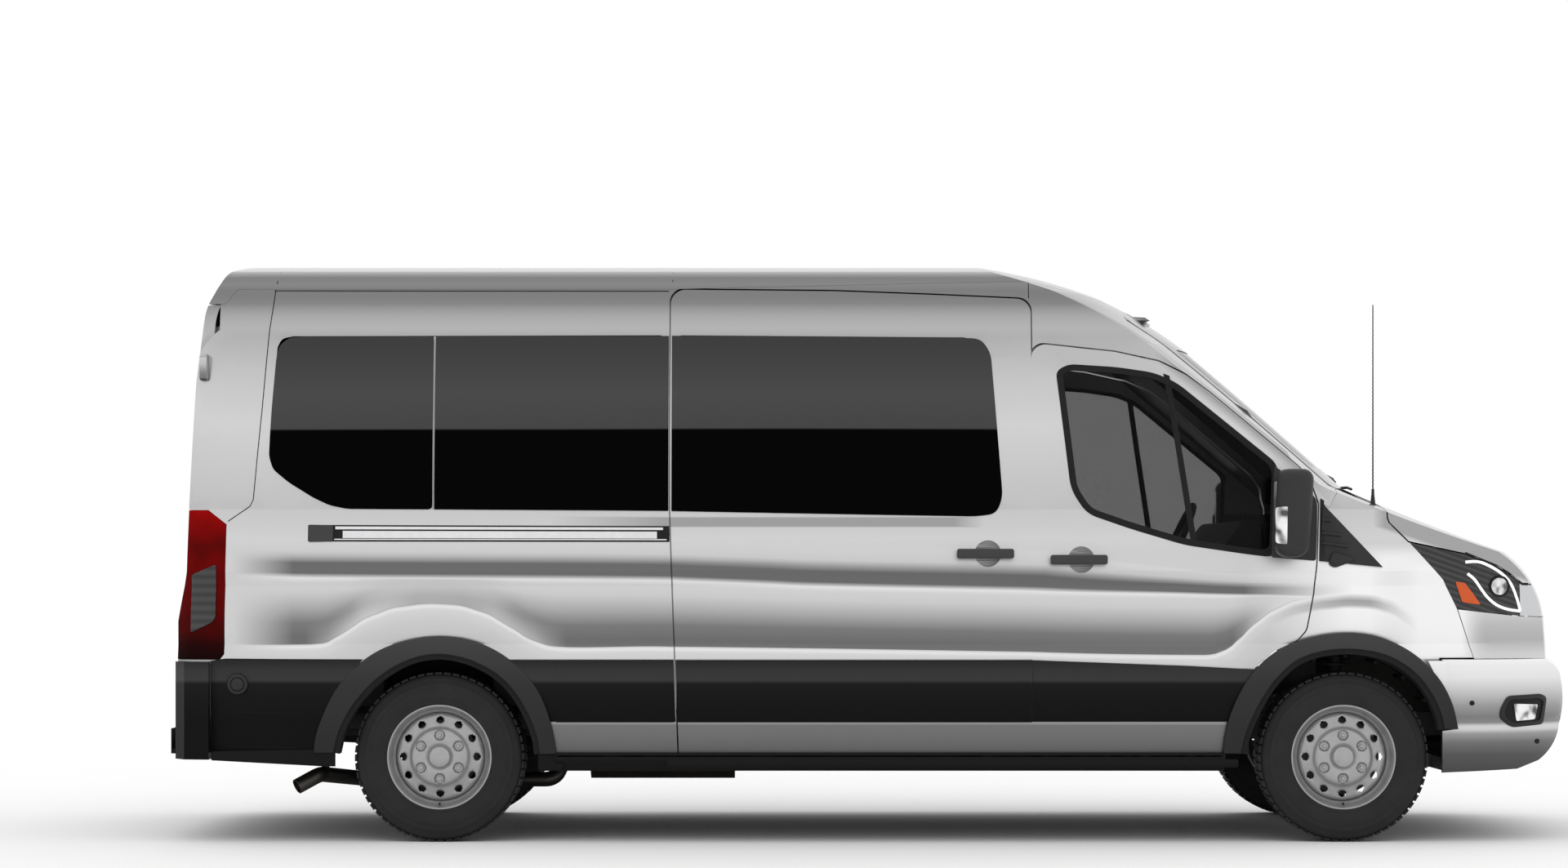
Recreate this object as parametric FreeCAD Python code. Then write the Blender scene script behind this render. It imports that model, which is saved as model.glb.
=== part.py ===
import FreeCAD, Part
import math
import os

V = FreeCAD.Vector
os.makedirs("parts", exist_ok=True)

# A long passenger van with a medium roof, standing on its four wheels.
# X points forward, Y to the left and Z up; the origin is on the ground in the
# middle of the vehicle. All lengths are in millimetres.

# Driving dimensions
wheelbase = 3750.0
front_overhang = 1030.0
rear_overhang = 1162.0
roof_height = 2437.0
half_body = 1022.0
half_sill = 1000.0
half_belt = 994.0
half_upper = 958.0
half_cant = 868.0
half_roof = 760.0
sill_z = 371.0
cladding_top_z = 760.0
groove_z = 822.0
half_groove = 1011.0
swell_z = 935.0
half_swell = 1021.0
waist_z = 1062.0
half_waist = 1009.0
crease_z = 1124.0
half_crease = 1022.0
shoulder_z = 1262.0
half_shoulder = 1010.0
belt_z = 1380.0
upper_z = 1830.0
gutter_z = 2298.0
roof_edge_z = 2382.0
roof_corner_half = 828.0
roof_corner_z = 2352.0
roof_quarter_half = 390.0
roof_quarter_z = 2424.0
wall = 50.0
panel = 26.0
shut_gap = 6.0
seam_gap = 0.8
centre_gap = 10.0
floor_z = 526.0
floor_thickness = 22.0
seat_gap = 0.3
overrun = 400.0
post_depth = 50.0
post_top_z = 2290.0
sliver_share = 0.001
least_edge = 0.001
straight_angle = math.radians(179.0)
edge_reach_share = 0.47
corner_inset_share = 0.7
litre = 1e6
sill_inset = 30.0

overall_length = wheelbase + front_overhang + rear_overhang
front_axle_x = overall_length / 2 - front_overhang
rear_axle_x = front_axle_x - wheelbase

# Wheels and tyres
track = 1730.0
tyre_radius = 352.0
tyre_width = 235.0
tyre_crown_drop = 9.0
tyre_shoulder = 46.0
tyre_bulge_radius = 285.0
rim_radius = 218.5
rim_wall = 7.0
rim_well_radius = 186.0
rim_seat_gap = 0.3
hub_radius = 118.0
cap_radius = 45.5
cap_height = 12.0
lug_circle_radius = 90.0
lug_radius = 12.0
lug_height = 16.0
lug_count = 6
wheel_hole_radius = 16.5
wheel_hole_circle = 156.0
wheel_hole_count = 12
disc_thickness = 12.0

# The wheel arches in the body sides
arch_radius = 442.0
arch_inner_half = 640.0

# The camber of the front of the body in plan is an arc about this upright axis
nose_axis_back = 2491.0


def point(shares):
    """A place in the side view, from shares of the wheelbase and the roof height."""
    return (front_axle_x + shares[0] * wheelbase, shares[1] * roof_height)


def places(table):
    """A table of shares as places in the side view."""
    return [point(row) for row in table]


def corner_wire(points, radii, to_vector):
    """A closed wire through points, with an arc of its own radius at each corner."""
    count = len(points)
    starts = []
    for i in range(count):
        corner = to_vector(points[i])
        before = to_vector(points[i - 1]) - corner
        after = to_vector(points[(i + 1) % count]) - corner
        radius = radii[i] if isinstance(radii, (list, tuple)) else radii
        angle = before.getAngle(after)
        if radius <= 0 or angle > straight_angle:
            starts.append((corner, corner, corner))
            continue
        reach = min(radius / math.tan(angle / 2), edge_reach_share * min(before.Length, after.Length))
        radius = reach * math.tan(angle / 2)
        into = before.normalize()
        out = after.normalize()
        middle = (into + out).normalize() * (radius / math.sin(angle / 2) - radius)
        starts.append((corner + into * reach, corner + middle, corner + out * reach))
    edges = []
    for i in range(count):
        first, middle, last = starts[i]
        if (first - last).Length > least_edge:
            edges.append(Part.Arc(first, middle, last).toShape())
        follow = starts[(i + 1) % count][0]
        if (last - follow).Length > least_edge:
            edges.append(Part.LineSegment(last, follow).toShape())
    return Part.Wire(edges)


def side_prism(points, y_from, y_to, radii=0):
    """A side view outline drawn out along Y."""
    wire = corner_wire(points, radii, lambda p: V(p[0], y_from, p[1]))
    return Part.Face(wire).extrude(V(0, y_to - y_from, 0))


def end_prism(points, x_from, x_to, radii=0):
    """An end view outline of (y, z) points drawn out along X."""
    wire = corner_wire(points, radii, lambda p: V(x_from, p[0], p[1]))
    return Part.Face(wire).extrude(V(x_to - x_from, 0, 0))


def plan_prism(points, z_from, z_to, radii=0):
    """A plan view outline of (x, y) points drawn out along Z."""
    wire = corner_wire(points, radii, lambda p: V(p[0], p[1], z_from))
    return Part.Face(wire).extrude(V(0, 0, z_to - z_from))


def block(x_from, x_to, y_from, y_to, z_from, z_to):
    """A box between two corners."""
    low = V(min(x_from, x_to), min(y_from, y_to), min(z_from, z_to))
    return Part.makeBox(abs(x_to - x_from), abs(y_to - y_from), abs(z_to - z_from), low)


def tube(start, end, radius, bore=0):
    """A round bar or tube between two points."""
    along = end - start
    bar = Part.makeCylinder(radius, along.Length, start, along)
    if bore > 0:
        bar = bar.cut(Part.makeCylinder(bore, along.Length, start, along))
    return bar


def pipe(points, radius, bend, bore=0):
    """A bent tube along points, each corner an arc of the bend radius."""
    edges = []
    last = points[0]
    for i in range(1, len(points) - 1):
        corner = points[i]
        into = (points[i - 1] - corner).normalize()
        out = (points[i + 1] - corner).normalize()
        angle = into.getAngle(out)
        reach = bend / math.tan(angle / 2)
        middle = (into + out).normalize() * (bend / math.sin(angle / 2) - bend)
        edges.append(Part.LineSegment(last, corner + into * reach).toShape())
        edges.append(Part.Arc(corner + into * reach, corner + middle, corner + out * reach).toShape())
        last = corner + out * reach
    edges.append(Part.LineSegment(last, points[-1]).toShape())
    path = Part.Wire(edges)
    along = (points[1] - points[0]).normalize()
    ring = Part.Wire(Part.makeCircle(radius, points[0], along))
    body = path.makePipeShell([ring], True, True)
    if bore > 0:
        hole = Part.Wire(Part.makeCircle(bore, points[0], along))
        body = body.cut(path.makePipeShell([hole], True, True))
    return body


def mirrored(shape):
    """The same shape on the other side of the vehicle."""
    return shape.mirror(V(0, 0, 0), V(0, 1, 0))


def pair(shape):
    """A right hand shape with its left hand twin."""
    return Part.makeCompound([shape, mirrored(shape)])


def large_solids(shape):
    """The solids of a shape without the slivers that a cut may leave."""
    largest = max(solid.Volume for solid in shape.Solids)
    return [solid for solid in shape.Solids if solid.Volume > largest * sliver_share]


def save(name, shape):
    """Write a node and say how many solids it holds."""
    solids = shape.Solids
    whole = solids[0] if len(solids) == 1 else Part.makeCompound(solids)
    whole.exportStep("parts/" + name + ".step")
    print(name, len(solids), whole.isValid(), round(whole.Volume / litre, 2))


# The outer form of the body: a flank drawn through cross sections, under the
# side view outline of the tail and roof, and the cambered front.

flank_station_shares = (
    (-0.4990, 0.850), (-0.4860, 0.920), (-0.4740, 0.960), (-0.4550, 0.985), (-0.4100, 1.0),
    (-0.4000, 1.0), (-0.3800, 1.0), (-0.3300, 1.0), (-0.1500, 1.0), (0.0, 1.0),
    (0.0800, 1.0), (0.1300, 1.0), (0.1700, 0.999), (0.2500, 0.995), (0.3266, 0.985),
    (0.3850, 0.955), (0.4250, 0.910), (0.4550, 0.848), (0.4900, 0.730),
)
tail_outline_shares = (
    (-1.2808, 0.1522), (-1.2909, 0.3119), (-1.2904, 0.3755), (-1.2797, 0.4600), (-1.2779, 0.5728),
    (-1.2715, 0.7825), (-1.2624, 0.9105), (-1.2349, 0.9869), (-1.2003, 1.0053),
)
tail_corner_radii_shares = (0, 0.004, 0.01, 0.03, 0.03, 0.1, 0.06, 0.05, 0.0)
front_profile_shares = (
    (-0.4776, 1.0008), (-0.3427, 0.9844), (-0.2477, 0.9401), (-0.2005, 0.8999), (-0.1533, 0.8498),
    (-0.0595, 0.7247), (0.0245, 0.6081), (0.0317, 0.6020), (0.1261, 0.5412), (0.2085, 0.4941),
    (0.2387, 0.4452), (0.2539, 0.3677), (0.2565, 0.3069),
)


def arc(first, middle, last):
    """An arc through three points."""
    return Part.Arc(first, middle, last).toShape()


def line(first, last):
    """A straight edge."""
    return Part.LineSegment(first, last).toShape()


def flank_section(x, share, inset):
    """The body's cross section at one station, with its walls moved inwards."""
    def at(half, z):
        return V(x, half * share - inset, z)
    low = sill_z - (overrun if inset > 0 else 0)
    right = [at(half_sill, low), at(half_body, cladding_top_z), at(half_groove, groove_z),
             at(half_swell, swell_z), at(half_waist, waist_z), at(half_crease, crease_z),
             at(half_shoulder, shoulder_z), at(half_belt, belt_z), at(half_upper, upper_z),
             at(half_cant, gutter_z), at(roof_corner_half, roof_corner_z - inset * corner_inset_share),
             at(half_roof, roof_edge_z - inset),
             at(roof_quarter_half, roof_quarter_z - inset), V(x, 0, roof_height - inset)]
    left = [V(p.x, -p.y, p.z) for p in right]
    pieces = ((line, (0, 1)), (line, (1, 2)), (arc, (2, 3, 4)), (line, (4, 5)), (arc, (5, 6, 7)),
              (arc, (7, 8, 9)), (arc, (9, 10, 11)), (arc, (11, 12, 13)))
    edges = [draw(*[right[i] for i in ends]) for draw, ends in pieces]
    edges += [draw(*[left[i] for i in reversed(ends)]) for draw, ends in reversed(pieces)]
    return Part.Wire(edges + [line(left[0], right[0])])


def flank_form(inset):
    """The flanks and roof along the whole length, as one lofted solid."""
    wires = []
    for along, share in flank_station_shares:
        wires.append(flank_section(along * overall_length, share, inset))
    return Part.makeLoft(wires, True, False)


nose_axis_x = front_axle_x - nose_axis_back


def moved_inwards(points, inset):
    """An open outline with each point moved to its right hand side, square to its neighbours."""
    moved = []
    for i, here in enumerate(points):
        before = points[max(i - 1, 0)]
        after = points[min(i + 1, len(points) - 1)]
        run = V(after[0] - before[0], after[1] - before[1], 0).normalize()
        moved.append((here[0] + run.y * inset, here[1] - run.x * inset))
    return moved


def front_outline(inset):
    """The side view of roof, windscreen, bonnet and nose, as (radius, z) from the camber axis."""
    profile = moved_inwards(places(front_profile_shares), inset)
    p = [V(x - nose_axis_x, 0, z) for x, z in profile]
    foot = V(p[-1].x, 0, sill_z - overrun)
    axis_foot = V(0, 0, foot.z)
    axis_top = V(0, 0, p[0].z)
    edges = [line(axis_foot, axis_top), line(axis_top, p[0]), arc(p[0], p[1], p[2]),
             arc(p[2], p[3], p[4]), arc(p[4], p[5], p[6]), line(p[6], p[7]), arc(p[7], p[8], p[9]),
             arc(p[9], p[10], p[11]), line(p[11], p[12]), line(p[12], foot), line(foot, axis_foot)]
    return Part.Wire(edges)


def profile_form(inset):
    """All that lies under the side view outline of the tail, the roof and the cambered front."""
    tail = moved_inwards(places(tail_outline_shares), inset)
    low = sill_z - overrun
    ahead = nose_axis_x
    outline = [(ahead, low), (tail[0][0], low)] + tail + [(ahead, tail[-1][1])]
    radii = [0, 0] + [share * wheelbase for share in tail_corner_radii_shares] + [0]
    half = half_body + overrun
    wire = corner_wire(outline, radii, lambda p: V(p[0], -half, p[1]))
    back = Part.Face(wire).extrude(V(0, 2 * half, 0))
    front = Part.Face(front_outline(inset))
    front.translate(V(nose_axis_x, 0, 0))
    front.rotate(V(nose_axis_x, 0, 0), V(0, 0, 1), -90)
    return back, front.revolve(V(nose_axis_x, 0, 0), V(0, 0, 1), 180)


def body_form(inset):
    """The closed outer form of the body, its surfaces moved inwards by inset."""
    flank = flank_form(inset)
    back, front = profile_form(inset)
    return flank.common(back).fuse(flank.common(front))


# Outlines in the side view, as shares of the wheelbase from the front axle and
# of the roof height from the ground

front_door_shares = (
    (-0.3451, 0.1522), (-0.3451, 0.8506), (-0.2515, 0.8350), (-0.2035, 0.8186), (-0.1736, 0.7957),
    (-0.1469, 0.7653), (-0.0491, 0.6381), (-0.0368, 0.6106), (-0.0288, 0.5745), (-0.0315, 0.4768),
    (-0.0349, 0.4243), (-0.0429, 0.3611), (-0.0531, 0.3430), (-0.0776, 0.3254), (-0.1043, 0.2901),
    (-0.1168, 0.2540), (-0.1299, 0.2085), (-0.1347, 0.1522),
)
front_window_shares = (
    (-0.3149, 0.8002), (-0.3027, 0.8100), (-0.2515, 0.8051), (-0.2096, 0.7957), (-0.1856, 0.7792),
    (-0.0749, 0.6401), (-0.0789, 0.4883), (-0.1072, 0.4936), (-0.1760, 0.5092), (-0.2355, 0.5367),
    (-0.2829, 0.5622), (-0.2995, 0.6011),
)
sliding_door_shares = (
    (-0.7445, 0.9430), (-0.5624, 0.9401), (-0.4491, 0.9335), (-0.3451, 0.9261), (-0.3451, 0.1522),
    (-0.7349, 0.1522), (-0.7389, 0.3283), (-0.7445, 0.5704),
)
quarter_window_shares = (
    (-1.1808, 0.8424), (-1.1763, 0.8580), (-1.1629, 0.8621), (-0.7469, 0.8638), (-0.7469, 0.5663),
    (-1.1099, 0.5691), (-1.1317, 0.5847), (-1.1781, 0.6295), (-1.1875, 0.6627),
)
door_window_shares = (
    (-0.7421, 0.8638), (-0.4187, 0.8601), (-0.4016, 0.8510), (-0.3893, 0.8244), (-0.3789, 0.5806),
    (-0.3845, 0.5605), (-0.4045, 0.5556), (-0.7421, 0.5663),
)
pane_split_share = (-1.0083, 0.6976)
roof_line_shares = (
    (-1.3443, 0.9183), (-1.2408, 0.9183), (-1.2269, 0.9438), (-0.7443, 0.9438), (-0.3443, 0.9586),
    (-0.2509, 0.9282), (-0.1443, 0.8535), (-0.1443, 1.0669), (-1.3443, 1.0669),
)
hood_shares = (
    (0.0491, 0.6565), (0.0491, 0.5519), (0.0509, 0.5441), (0.0720, 0.5121), (0.1357, 0.4916),
    (0.1712, 0.4703), (0.1867, 0.4571), (0.2032, 0.4395), (0.2824, 0.4395), (0.2824, 0.6565),
)
nose_cut_shares = (
    (-0.1709, 0.0821), (-0.1709, 0.4924), (-0.0509, 0.4924), (-0.0376, 0.5847), (-0.0280, 0.5794),
    (-0.0163, 0.5700), (-0.0056, 0.6011), (0.0245, 0.6081), (0.3357, 0.6081), (0.3357, 0.0821),
)
fender_shares = (
    (-0.1336, 0.1641), (-0.1336, 0.3283), (-0.0509, 0.4924), (-0.0376, 0.5843), (-0.0280, 0.5790),
    (-0.0163, 0.5696), (-0.0053, 0.6003), (0.0245, 0.6073), (0.0720, 0.6073), (0.0720, 0.5105),
    (0.1104, 0.4465), (0.1261, 0.3964), (0.1448, 0.3135), (0.1059, 0.3135), (0.1059, 0.1641),
)
headlamp_shares = (
    (0.0720, 0.5105), (0.1357, 0.4908), (0.1715, 0.4694), (0.1867, 0.4563), (0.2035, 0.4378),
    (0.2824, 0.4350), (0.2824, 0.3796), (0.1971, 0.3845), (0.1261, 0.3964), (0.1104, 0.4465),
)
nose_panel_shares = (
    (0.1272, 0.3956), (0.1971, 0.3837), (0.2824, 0.3787), (0.2824, 0.3109), (0.1459, 0.3109),
)
front_flare_outer_shares = (
    (-0.1341, 0.1354), (-0.1336, 0.1641), (-0.1293, 0.2085), (-0.1163, 0.2540), (-0.1032, 0.2901),
    (-0.0763, 0.3246), (-0.0445, 0.3467), (0.0027, 0.3590), (0.0469, 0.3496), (0.0845, 0.3143),
    (0.1077, 0.2700), (0.1224, 0.2134), (0.1240, 0.1929),
)
front_flare_inner_shares = (
    (-0.1160, 0.0821), (-0.1149, 0.1559), (-0.1099, 0.1842), (-0.0923, 0.2413), (-0.0712, 0.2860),
    (-0.0475, 0.3147), (0.0027, 0.3266), (0.0451, 0.3188), (0.0811, 0.2807), (0.1037, 0.2216),
    (0.1088, 0.1929), (0.1088, 0.0821),
)
rear_flare_outer_shares = (
    (-1.1384, 0.1354), (-1.1371, 0.1596), (-1.1291, 0.2080), (-1.1125, 0.2593), (-1.0824, 0.3123),
    (-1.0528, 0.3369), (-0.9992, 0.3508), (-0.9483, 0.3369), (-0.9184, 0.3123), (-0.8915, 0.2634),
    (-0.8768, 0.2080), (-0.8704, 0.1526), (-0.8701, 0.1354),
)
rear_flare_inner_shares = (
    (-1.1157, 0.1354), (-1.1147, 0.1596), (-1.0947, 0.2318), (-1.0675, 0.2774), (-1.0349, 0.3094),
    (-0.9989, 0.3209), (-0.9629, 0.3123), (-0.9333, 0.2819), (-0.9037, 0.2220), (-0.8888, 0.1526),
    (-0.8883, 0.1354),
)
tail_lamp_shares = (
    (-1.3043, 0.5650), (-1.2555, 0.5646), (-1.2347, 0.5404), (-1.2368, 0.3201), (-1.2416, 0.3106),
    (-1.3043, 0.3106),
)
fog_lamp_shares = ((0.1957, 0.2421), (0.2557, 0.2421), (0.2557, 0.2113), (0.1957, 0.2113))
rear_corner_cladding_shares = (
    (-1.2515, 0.3086), (-1.2349, 0.3127), (-1.0824, 0.3110), (-1.1283, 0.2093), (-1.1368, 0.1387),
    (-1.2515, 0.1395),
)
sail_door_shares = (
    (-0.0749, 0.6426), (-0.0456, 0.6073), (-0.0376, 0.5921), (-0.0387, 0.4891), (-0.0789, 0.4883),
)
sail_fender_shares = ((-0.0253, 0.5843), (-0.0211, 0.5712), (0.0419, 0.4678), (-0.0264, 0.4780))


# Sizes of the side furniture and of what hangs on the body
cladding_depth = 12.0
flare_depth = 12.0
cladding_bottom_z = 498.0
cladding_side_top_z = 756.0
glass_thickness = 5.0
sill_bottom_z = 296.0
sill_inner_half = 905.0
rear_door_half = 884.0
rear_door_bottom_z = 640.0
rear_door_top_z = 2232.0
rear_door_depth_x = 190.0
rear_window_half_inner = 95.0
rear_window_half_outer = 790.0
rear_window_bottom_z = 1420.0
rear_window_top_z = 2090.0
rear_window_corner = 70.0
screen_top_half = 716.0
screen_bottom_half = 812.0
screen_bottom_z = 1494.0
screen_top_z = 2180.0
door_corner = 60.0
window_corner = 40.0
lamp_split_half = 584.0
grille_half = lamp_split_half - seat_gap
grille_top_z = 1062.0
grille_bottom_z = 764.0
grille_slat_count = 6
grille_bar_count = 5
grille_frame = 26.0
grille_slat = 16.0


def spread(points, grow):
    """A closed outline with every side moved outwards by grow."""
    count = len(points)
    turn = sum(points[i - 1][0] * points[i][1] - points[i][0] * points[i - 1][1] for i in range(count))
    side = math.copysign(1, turn)
    moved = []
    for i, here in enumerate(points):
        before = points[i - 1]
        after = points[(i + 1) % count]
        into = V(here[0] - before[0], here[1] - before[1], 0).normalize()
        out = V(after[0] - here[0], after[1] - here[1], 0).normalize()
        step = grow * side / (1 + into.dot(out))
        moved.append((here[0] + (into.y + out.y) * step, here[1] - (into.x + out.x) * step))
    return moved


def grown(points, grow, y_from, y_to, radii):
    """A side view prism with its outline moved outwards by grow."""
    return side_prism(spread(points, grow), y_from, y_to, radii)


side_reach = half_body + overrun


def right_prism(table, grow=0, radii=0):
    """A side view outline drawn through the right hand side only."""
    return grown(places(table), grow, -side_reach, -wall, radii)


def right_flank():
    """The space of the right hand side, clear of the middle of the vehicle."""
    return block(-overall_length, overall_length, -side_reach, -rear_door_half / 2, -overrun,
                 roof_height + overrun)


def arch_cut(axle_x, radius):
    """The round opening of a wheel arch through the right hand side."""
    start = V(axle_x, -side_reach, tyre_radius)
    return Part.makeCylinder(radius, side_reach - arch_inner_half, start, V(0, 1, 0))


flank = flank_form(0)
back_limit, front_limit = profile_form(0)
outer = flank.common(back_limit).fuse(flank.common(front_limit))
inner = body_form(wall)
shell = outer.cut(inner)
skin_inside = body_form(panel)
skin = outer.cut(skin_inside)
flank_glass = flank.cut(flank_form(glass_thickness))
post_layer = flank_form(wall + seat_gap).cut(flank_form(wall + post_depth))
flank_inside = flank_form(wall + seat_gap)
back_seal = profile_form(wall + 2 * seat_gap)[0]
flank_cladding = flank_form(-cladding_depth).cut(flank_form(-seat_gap))


def door_radii(table):
    """The corner radii of a side door, square where it ends on the sill."""
    return [0 if z < cladding_bottom_z else door_corner for x, z in places(table)]


def door_hole(table):
    """The opening in the body round a door, a whole shut gap larger than the door."""
    return right_prism(table, shut_gap, door_radii(table))


def roof_panel():
    """The roof with its front cap and the header over the rear doors."""
    cutter = grown(places(roof_line_shares), 0, -side_reach, side_reach, 0)
    return shell.common(cutter)


def screen_outline(grow):
    """The windscreen's opening seen from the front, as a prism along X."""
    top = screen_top_half + grow
    bottom = screen_bottom_half + grow
    points = [(-bottom, screen_bottom_z - grow), (bottom, screen_bottom_z - grow),
              (top, screen_top_z), (-top, screen_top_z)]
    return end_prism(points, 0, overall_length, 0)


def windscreen():
    """The curved windscreen, a single pane under the front edge of the roof."""
    layer = front_limit.cut(profile_form(glass_thickness)[1])
    below_roof = grown(places(roof_line_shares), seat_gap, -side_reach, side_reach, 0)
    return layer.common(screen_outline(-seat_gap)).cut(below_roof).common(outer)


def rear_door_prism():
    """The outline of the right rear door in the end view, with its split line on the centre."""
    points = [(-rear_door_half, rear_door_bottom_z), (-centre_gap / 2, rear_door_bottom_z),
              (-centre_gap / 2, rear_door_top_z), (-rear_door_half, rear_door_top_z)]
    tail_x = -overall_length / 2
    return end_prism(points, tail_x - overrun, tail_x + rear_door_depth_x + wall, 0)


def rear_window_prism(grow):
    """The window of the right rear door in the end view."""
    points = [(-rear_window_half_outer - grow, rear_window_bottom_z - grow),
              (-rear_window_half_inner + grow, rear_window_bottom_z - grow),
              (-rear_window_half_inner + grow, rear_window_top_z + grow),
              (-rear_window_half_outer - grow, rear_window_top_z + grow)]
    tail_x = -overall_length / 2
    return end_prism(points, tail_x - overrun, tail_x + rear_door_depth_x + wall, rear_window_corner)


def side_shell():
    """The right hand side of the shell without roof, nose, windscreen and rear doors."""
    tail_x = -overall_length / 2
    side = shell.common(right_flank())
    side = side.cut(grown(places(roof_line_shares), seam_gap, -side_reach, 0, 0))
    side = side.cut(grown(places(nose_cut_shares), 0, -side_reach, 0, 0))
    side = side.cut(screen_outline(0))
    below = block(tail_x - overrun, tail_x + rear_door_depth_x + wall, -rear_door_half - shut_gap, 0,
                  0, rear_door_top_z + shut_gap)
    side = side.cut(below)
    side = side.cut(right_prism(tail_lamp_shares, seam_gap))
    return side.cut(arch_cut(rear_axle_x, arch_radius)).cut(arch_cut(front_axle_x, arch_radius))


def post(x_from, x_to, low, high):
    """A pillar inside the right flank, its outer face the seat of a door's seal."""
    pillar = post_layer.common(block(x_from, x_to, -side_reach, 0, low, high))
    return Part.makeCompound(large_solids(pillar))


def rear_post():
    """The right rear pillar inside the tail, the seat of the rear door's seal."""
    tail_x = -overall_length / 2
    column = block(tail_x, tail_x + rear_door_depth_x + 2 * wall, -rear_door_half - post_depth,
                   -rear_door_half + post_depth, floor_z + floor_thickness + seat_gap, rear_door_top_z)
    layer = back_seal.cut(profile_form(wall + post_depth)[0])
    return layer.common(column).common(flank_inside)


def pillars():
    """The right hand door posts, standing on the floor under the roof."""
    joint_x = point(front_door_shares[0])[0]
    slide_x = point(sliding_door_shares[0])[0]
    hinge_x = point(front_door_shares[8])[0]
    low = floor_z + floor_thickness + seat_gap
    middle = post(joint_x - post_depth, joint_x + post_depth, low, post_top_z)
    front = post(hinge_x - 2 * post_depth, hinge_x + post_depth, low, belt_z)
    front = front.cut(arch_cut(front_axle_x, arch_radius))
    back = post(slide_x - post_depth, slide_x + post_depth / 2, low, post_top_z)
    return middle, front, back, rear_post()


def bodysides():
    """The two pressed sides with their door openings, windows and rear wheel arches."""
    side = side_shell()
    side = side.cut(door_hole(front_door_shares))
    side = side.cut(right_prism(quarter_window_shares, 0, window_corner))
    right = side.cut(door_hole(sliding_door_shares))
    left = side.cut(right_prism(door_window_shares, 0, window_corner))
    middle, front, back, rear = pillars()
    middle = middle.cut(right_prism(door_window_shares, 0, window_corner))
    right = Part.makeCompound(large_solids(right) + [middle, front, back, rear])
    left = Part.makeCompound(large_solids(left) + [middle, front, rear])
    return right, mirrored(left)


def side_glass():
    """The fixed panes bonded flush in the sides: split quarter panes and a middle pane on the left."""
    split_x = point(pane_split_share)[0]
    split = block(split_x - seam_gap, split_x + seam_gap, -side_reach, 0, 0, roof_height)
    quarter = flank_glass.common(right_prism(quarter_window_shares, -seat_gap, window_corner)).cut(split)
    middle = flank_glass.common(right_prism(door_window_shares, -seat_gap, window_corner))
    return Part.makeCompound([quarter, mirrored(quarter), mirrored(middle)])


def cladding_band(x_from, x_to):
    """A length of the black moulding along the right flank."""
    band = block(x_from, x_to, -side_reach, 0, cladding_bottom_z, cladding_side_top_z)
    return flank_cladding.common(band)


def door_band(table):
    """The moulding on a side door, cut to the door's own outline."""
    band = block(-overall_length, overall_length, -side_reach, 0, cladding_bottom_z, cladding_side_top_z)
    return flank_cladding.common(band).common(right_prism(table, -seat_gap, door_radii(table)))


def sliding_door():
    """The sliding door with its window cut out."""
    door = shell.common(right_prism(sliding_door_shares, 0, door_radii(sliding_door_shares)))
    return door.cut(right_prism(door_window_shares, 0, window_corner))


def front_door():
    """The right front door with its window frame."""
    door = shell.common(right_prism(front_door_shares, 0, door_radii(front_door_shares)))
    door = door.cut(screen_outline(seam_gap))
    return door.cut(right_prism(front_window_shares, 0, window_corner))


def rear_door():
    """The right rear door."""
    door = shell.common(rear_door_prism()).cut(profile_form(wall)[0])
    return door.cut(rear_window_prism(0))


def rear_glass():
    """The pane of the right rear door."""
    layer = back_limit.cut(profile_form(glass_thickness)[0])
    return layer.common(rear_window_prism(-seat_gap))


def hood():
    """The bonnet, a pressed lid down to the lamps and the grille."""
    return skin.common(grown(places(hood_shares), 0, -side_reach, side_reach, 0))


def front_fender():
    """The right front wing between door, lamp and bumper, round the wheel."""
    wing = skin.common(right_prism(fender_shares, 0, 0))
    wing = wing.cut(right_prism(hood_shares, shut_gap, 0))
    wing = wing.cut(door_hole(front_door_shares))
    wing = wing.cut(block(-overall_length, overall_length, -screen_bottom_half - seam_gap, 0,
                          upper_z / 2, roof_height))
    return wing.cut(arch_cut(front_axle_x, arch_radius))


def lamp_side():
    """The space of the right headlamp, outboard of the grille."""
    return block(0, overall_length, -side_reach, -lamp_split_half, 0, roof_height)


def headlamp():
    """The right headlamp, its lens flush with the wing and the bonnet."""
    lamp = shell.common(right_prism(headlamp_shares, -seat_gap, 0)).common(lamp_side())
    return lamp.cut(right_prism(hood_shares, shut_gap, 0))


def nose_panel():
    """The painted panel under the right headlamp."""
    return skin.common(right_prism(nose_panel_shares, -seat_gap, 0)).common(lamp_side())


def grille():
    """The grille: a frame with slats across and bars behind them."""
    def face(half, low, high):
        return end_prism([(-half, low), (half, low), (half, high), (-half, high)], 0, overall_length, 0)
    plate = skin.common(face(grille_half, grille_bottom_z, grille_top_z))
    inner_half = grille_half - grille_frame
    low = grille_bottom_z + grille_frame
    high = grille_top_z - grille_frame
    row = (high - low + grille_slat) / grille_slat_count
    column = (2 * inner_half + grille_slat) / grille_bar_count
    for i in range(grille_slat_count):
        z = low + i * row
        for j in range(grille_bar_count):
            y = -inner_half + j * column
            y_end = y + column - grille_slat
            z_end = z + row - grille_slat
            hole = [(y, z), (y_end, z), (y_end, z_end), (y, z_end)]
            plate = plate.cut(end_prism(hole, front_axle_x, overall_length, 0))
    return plate


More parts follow.
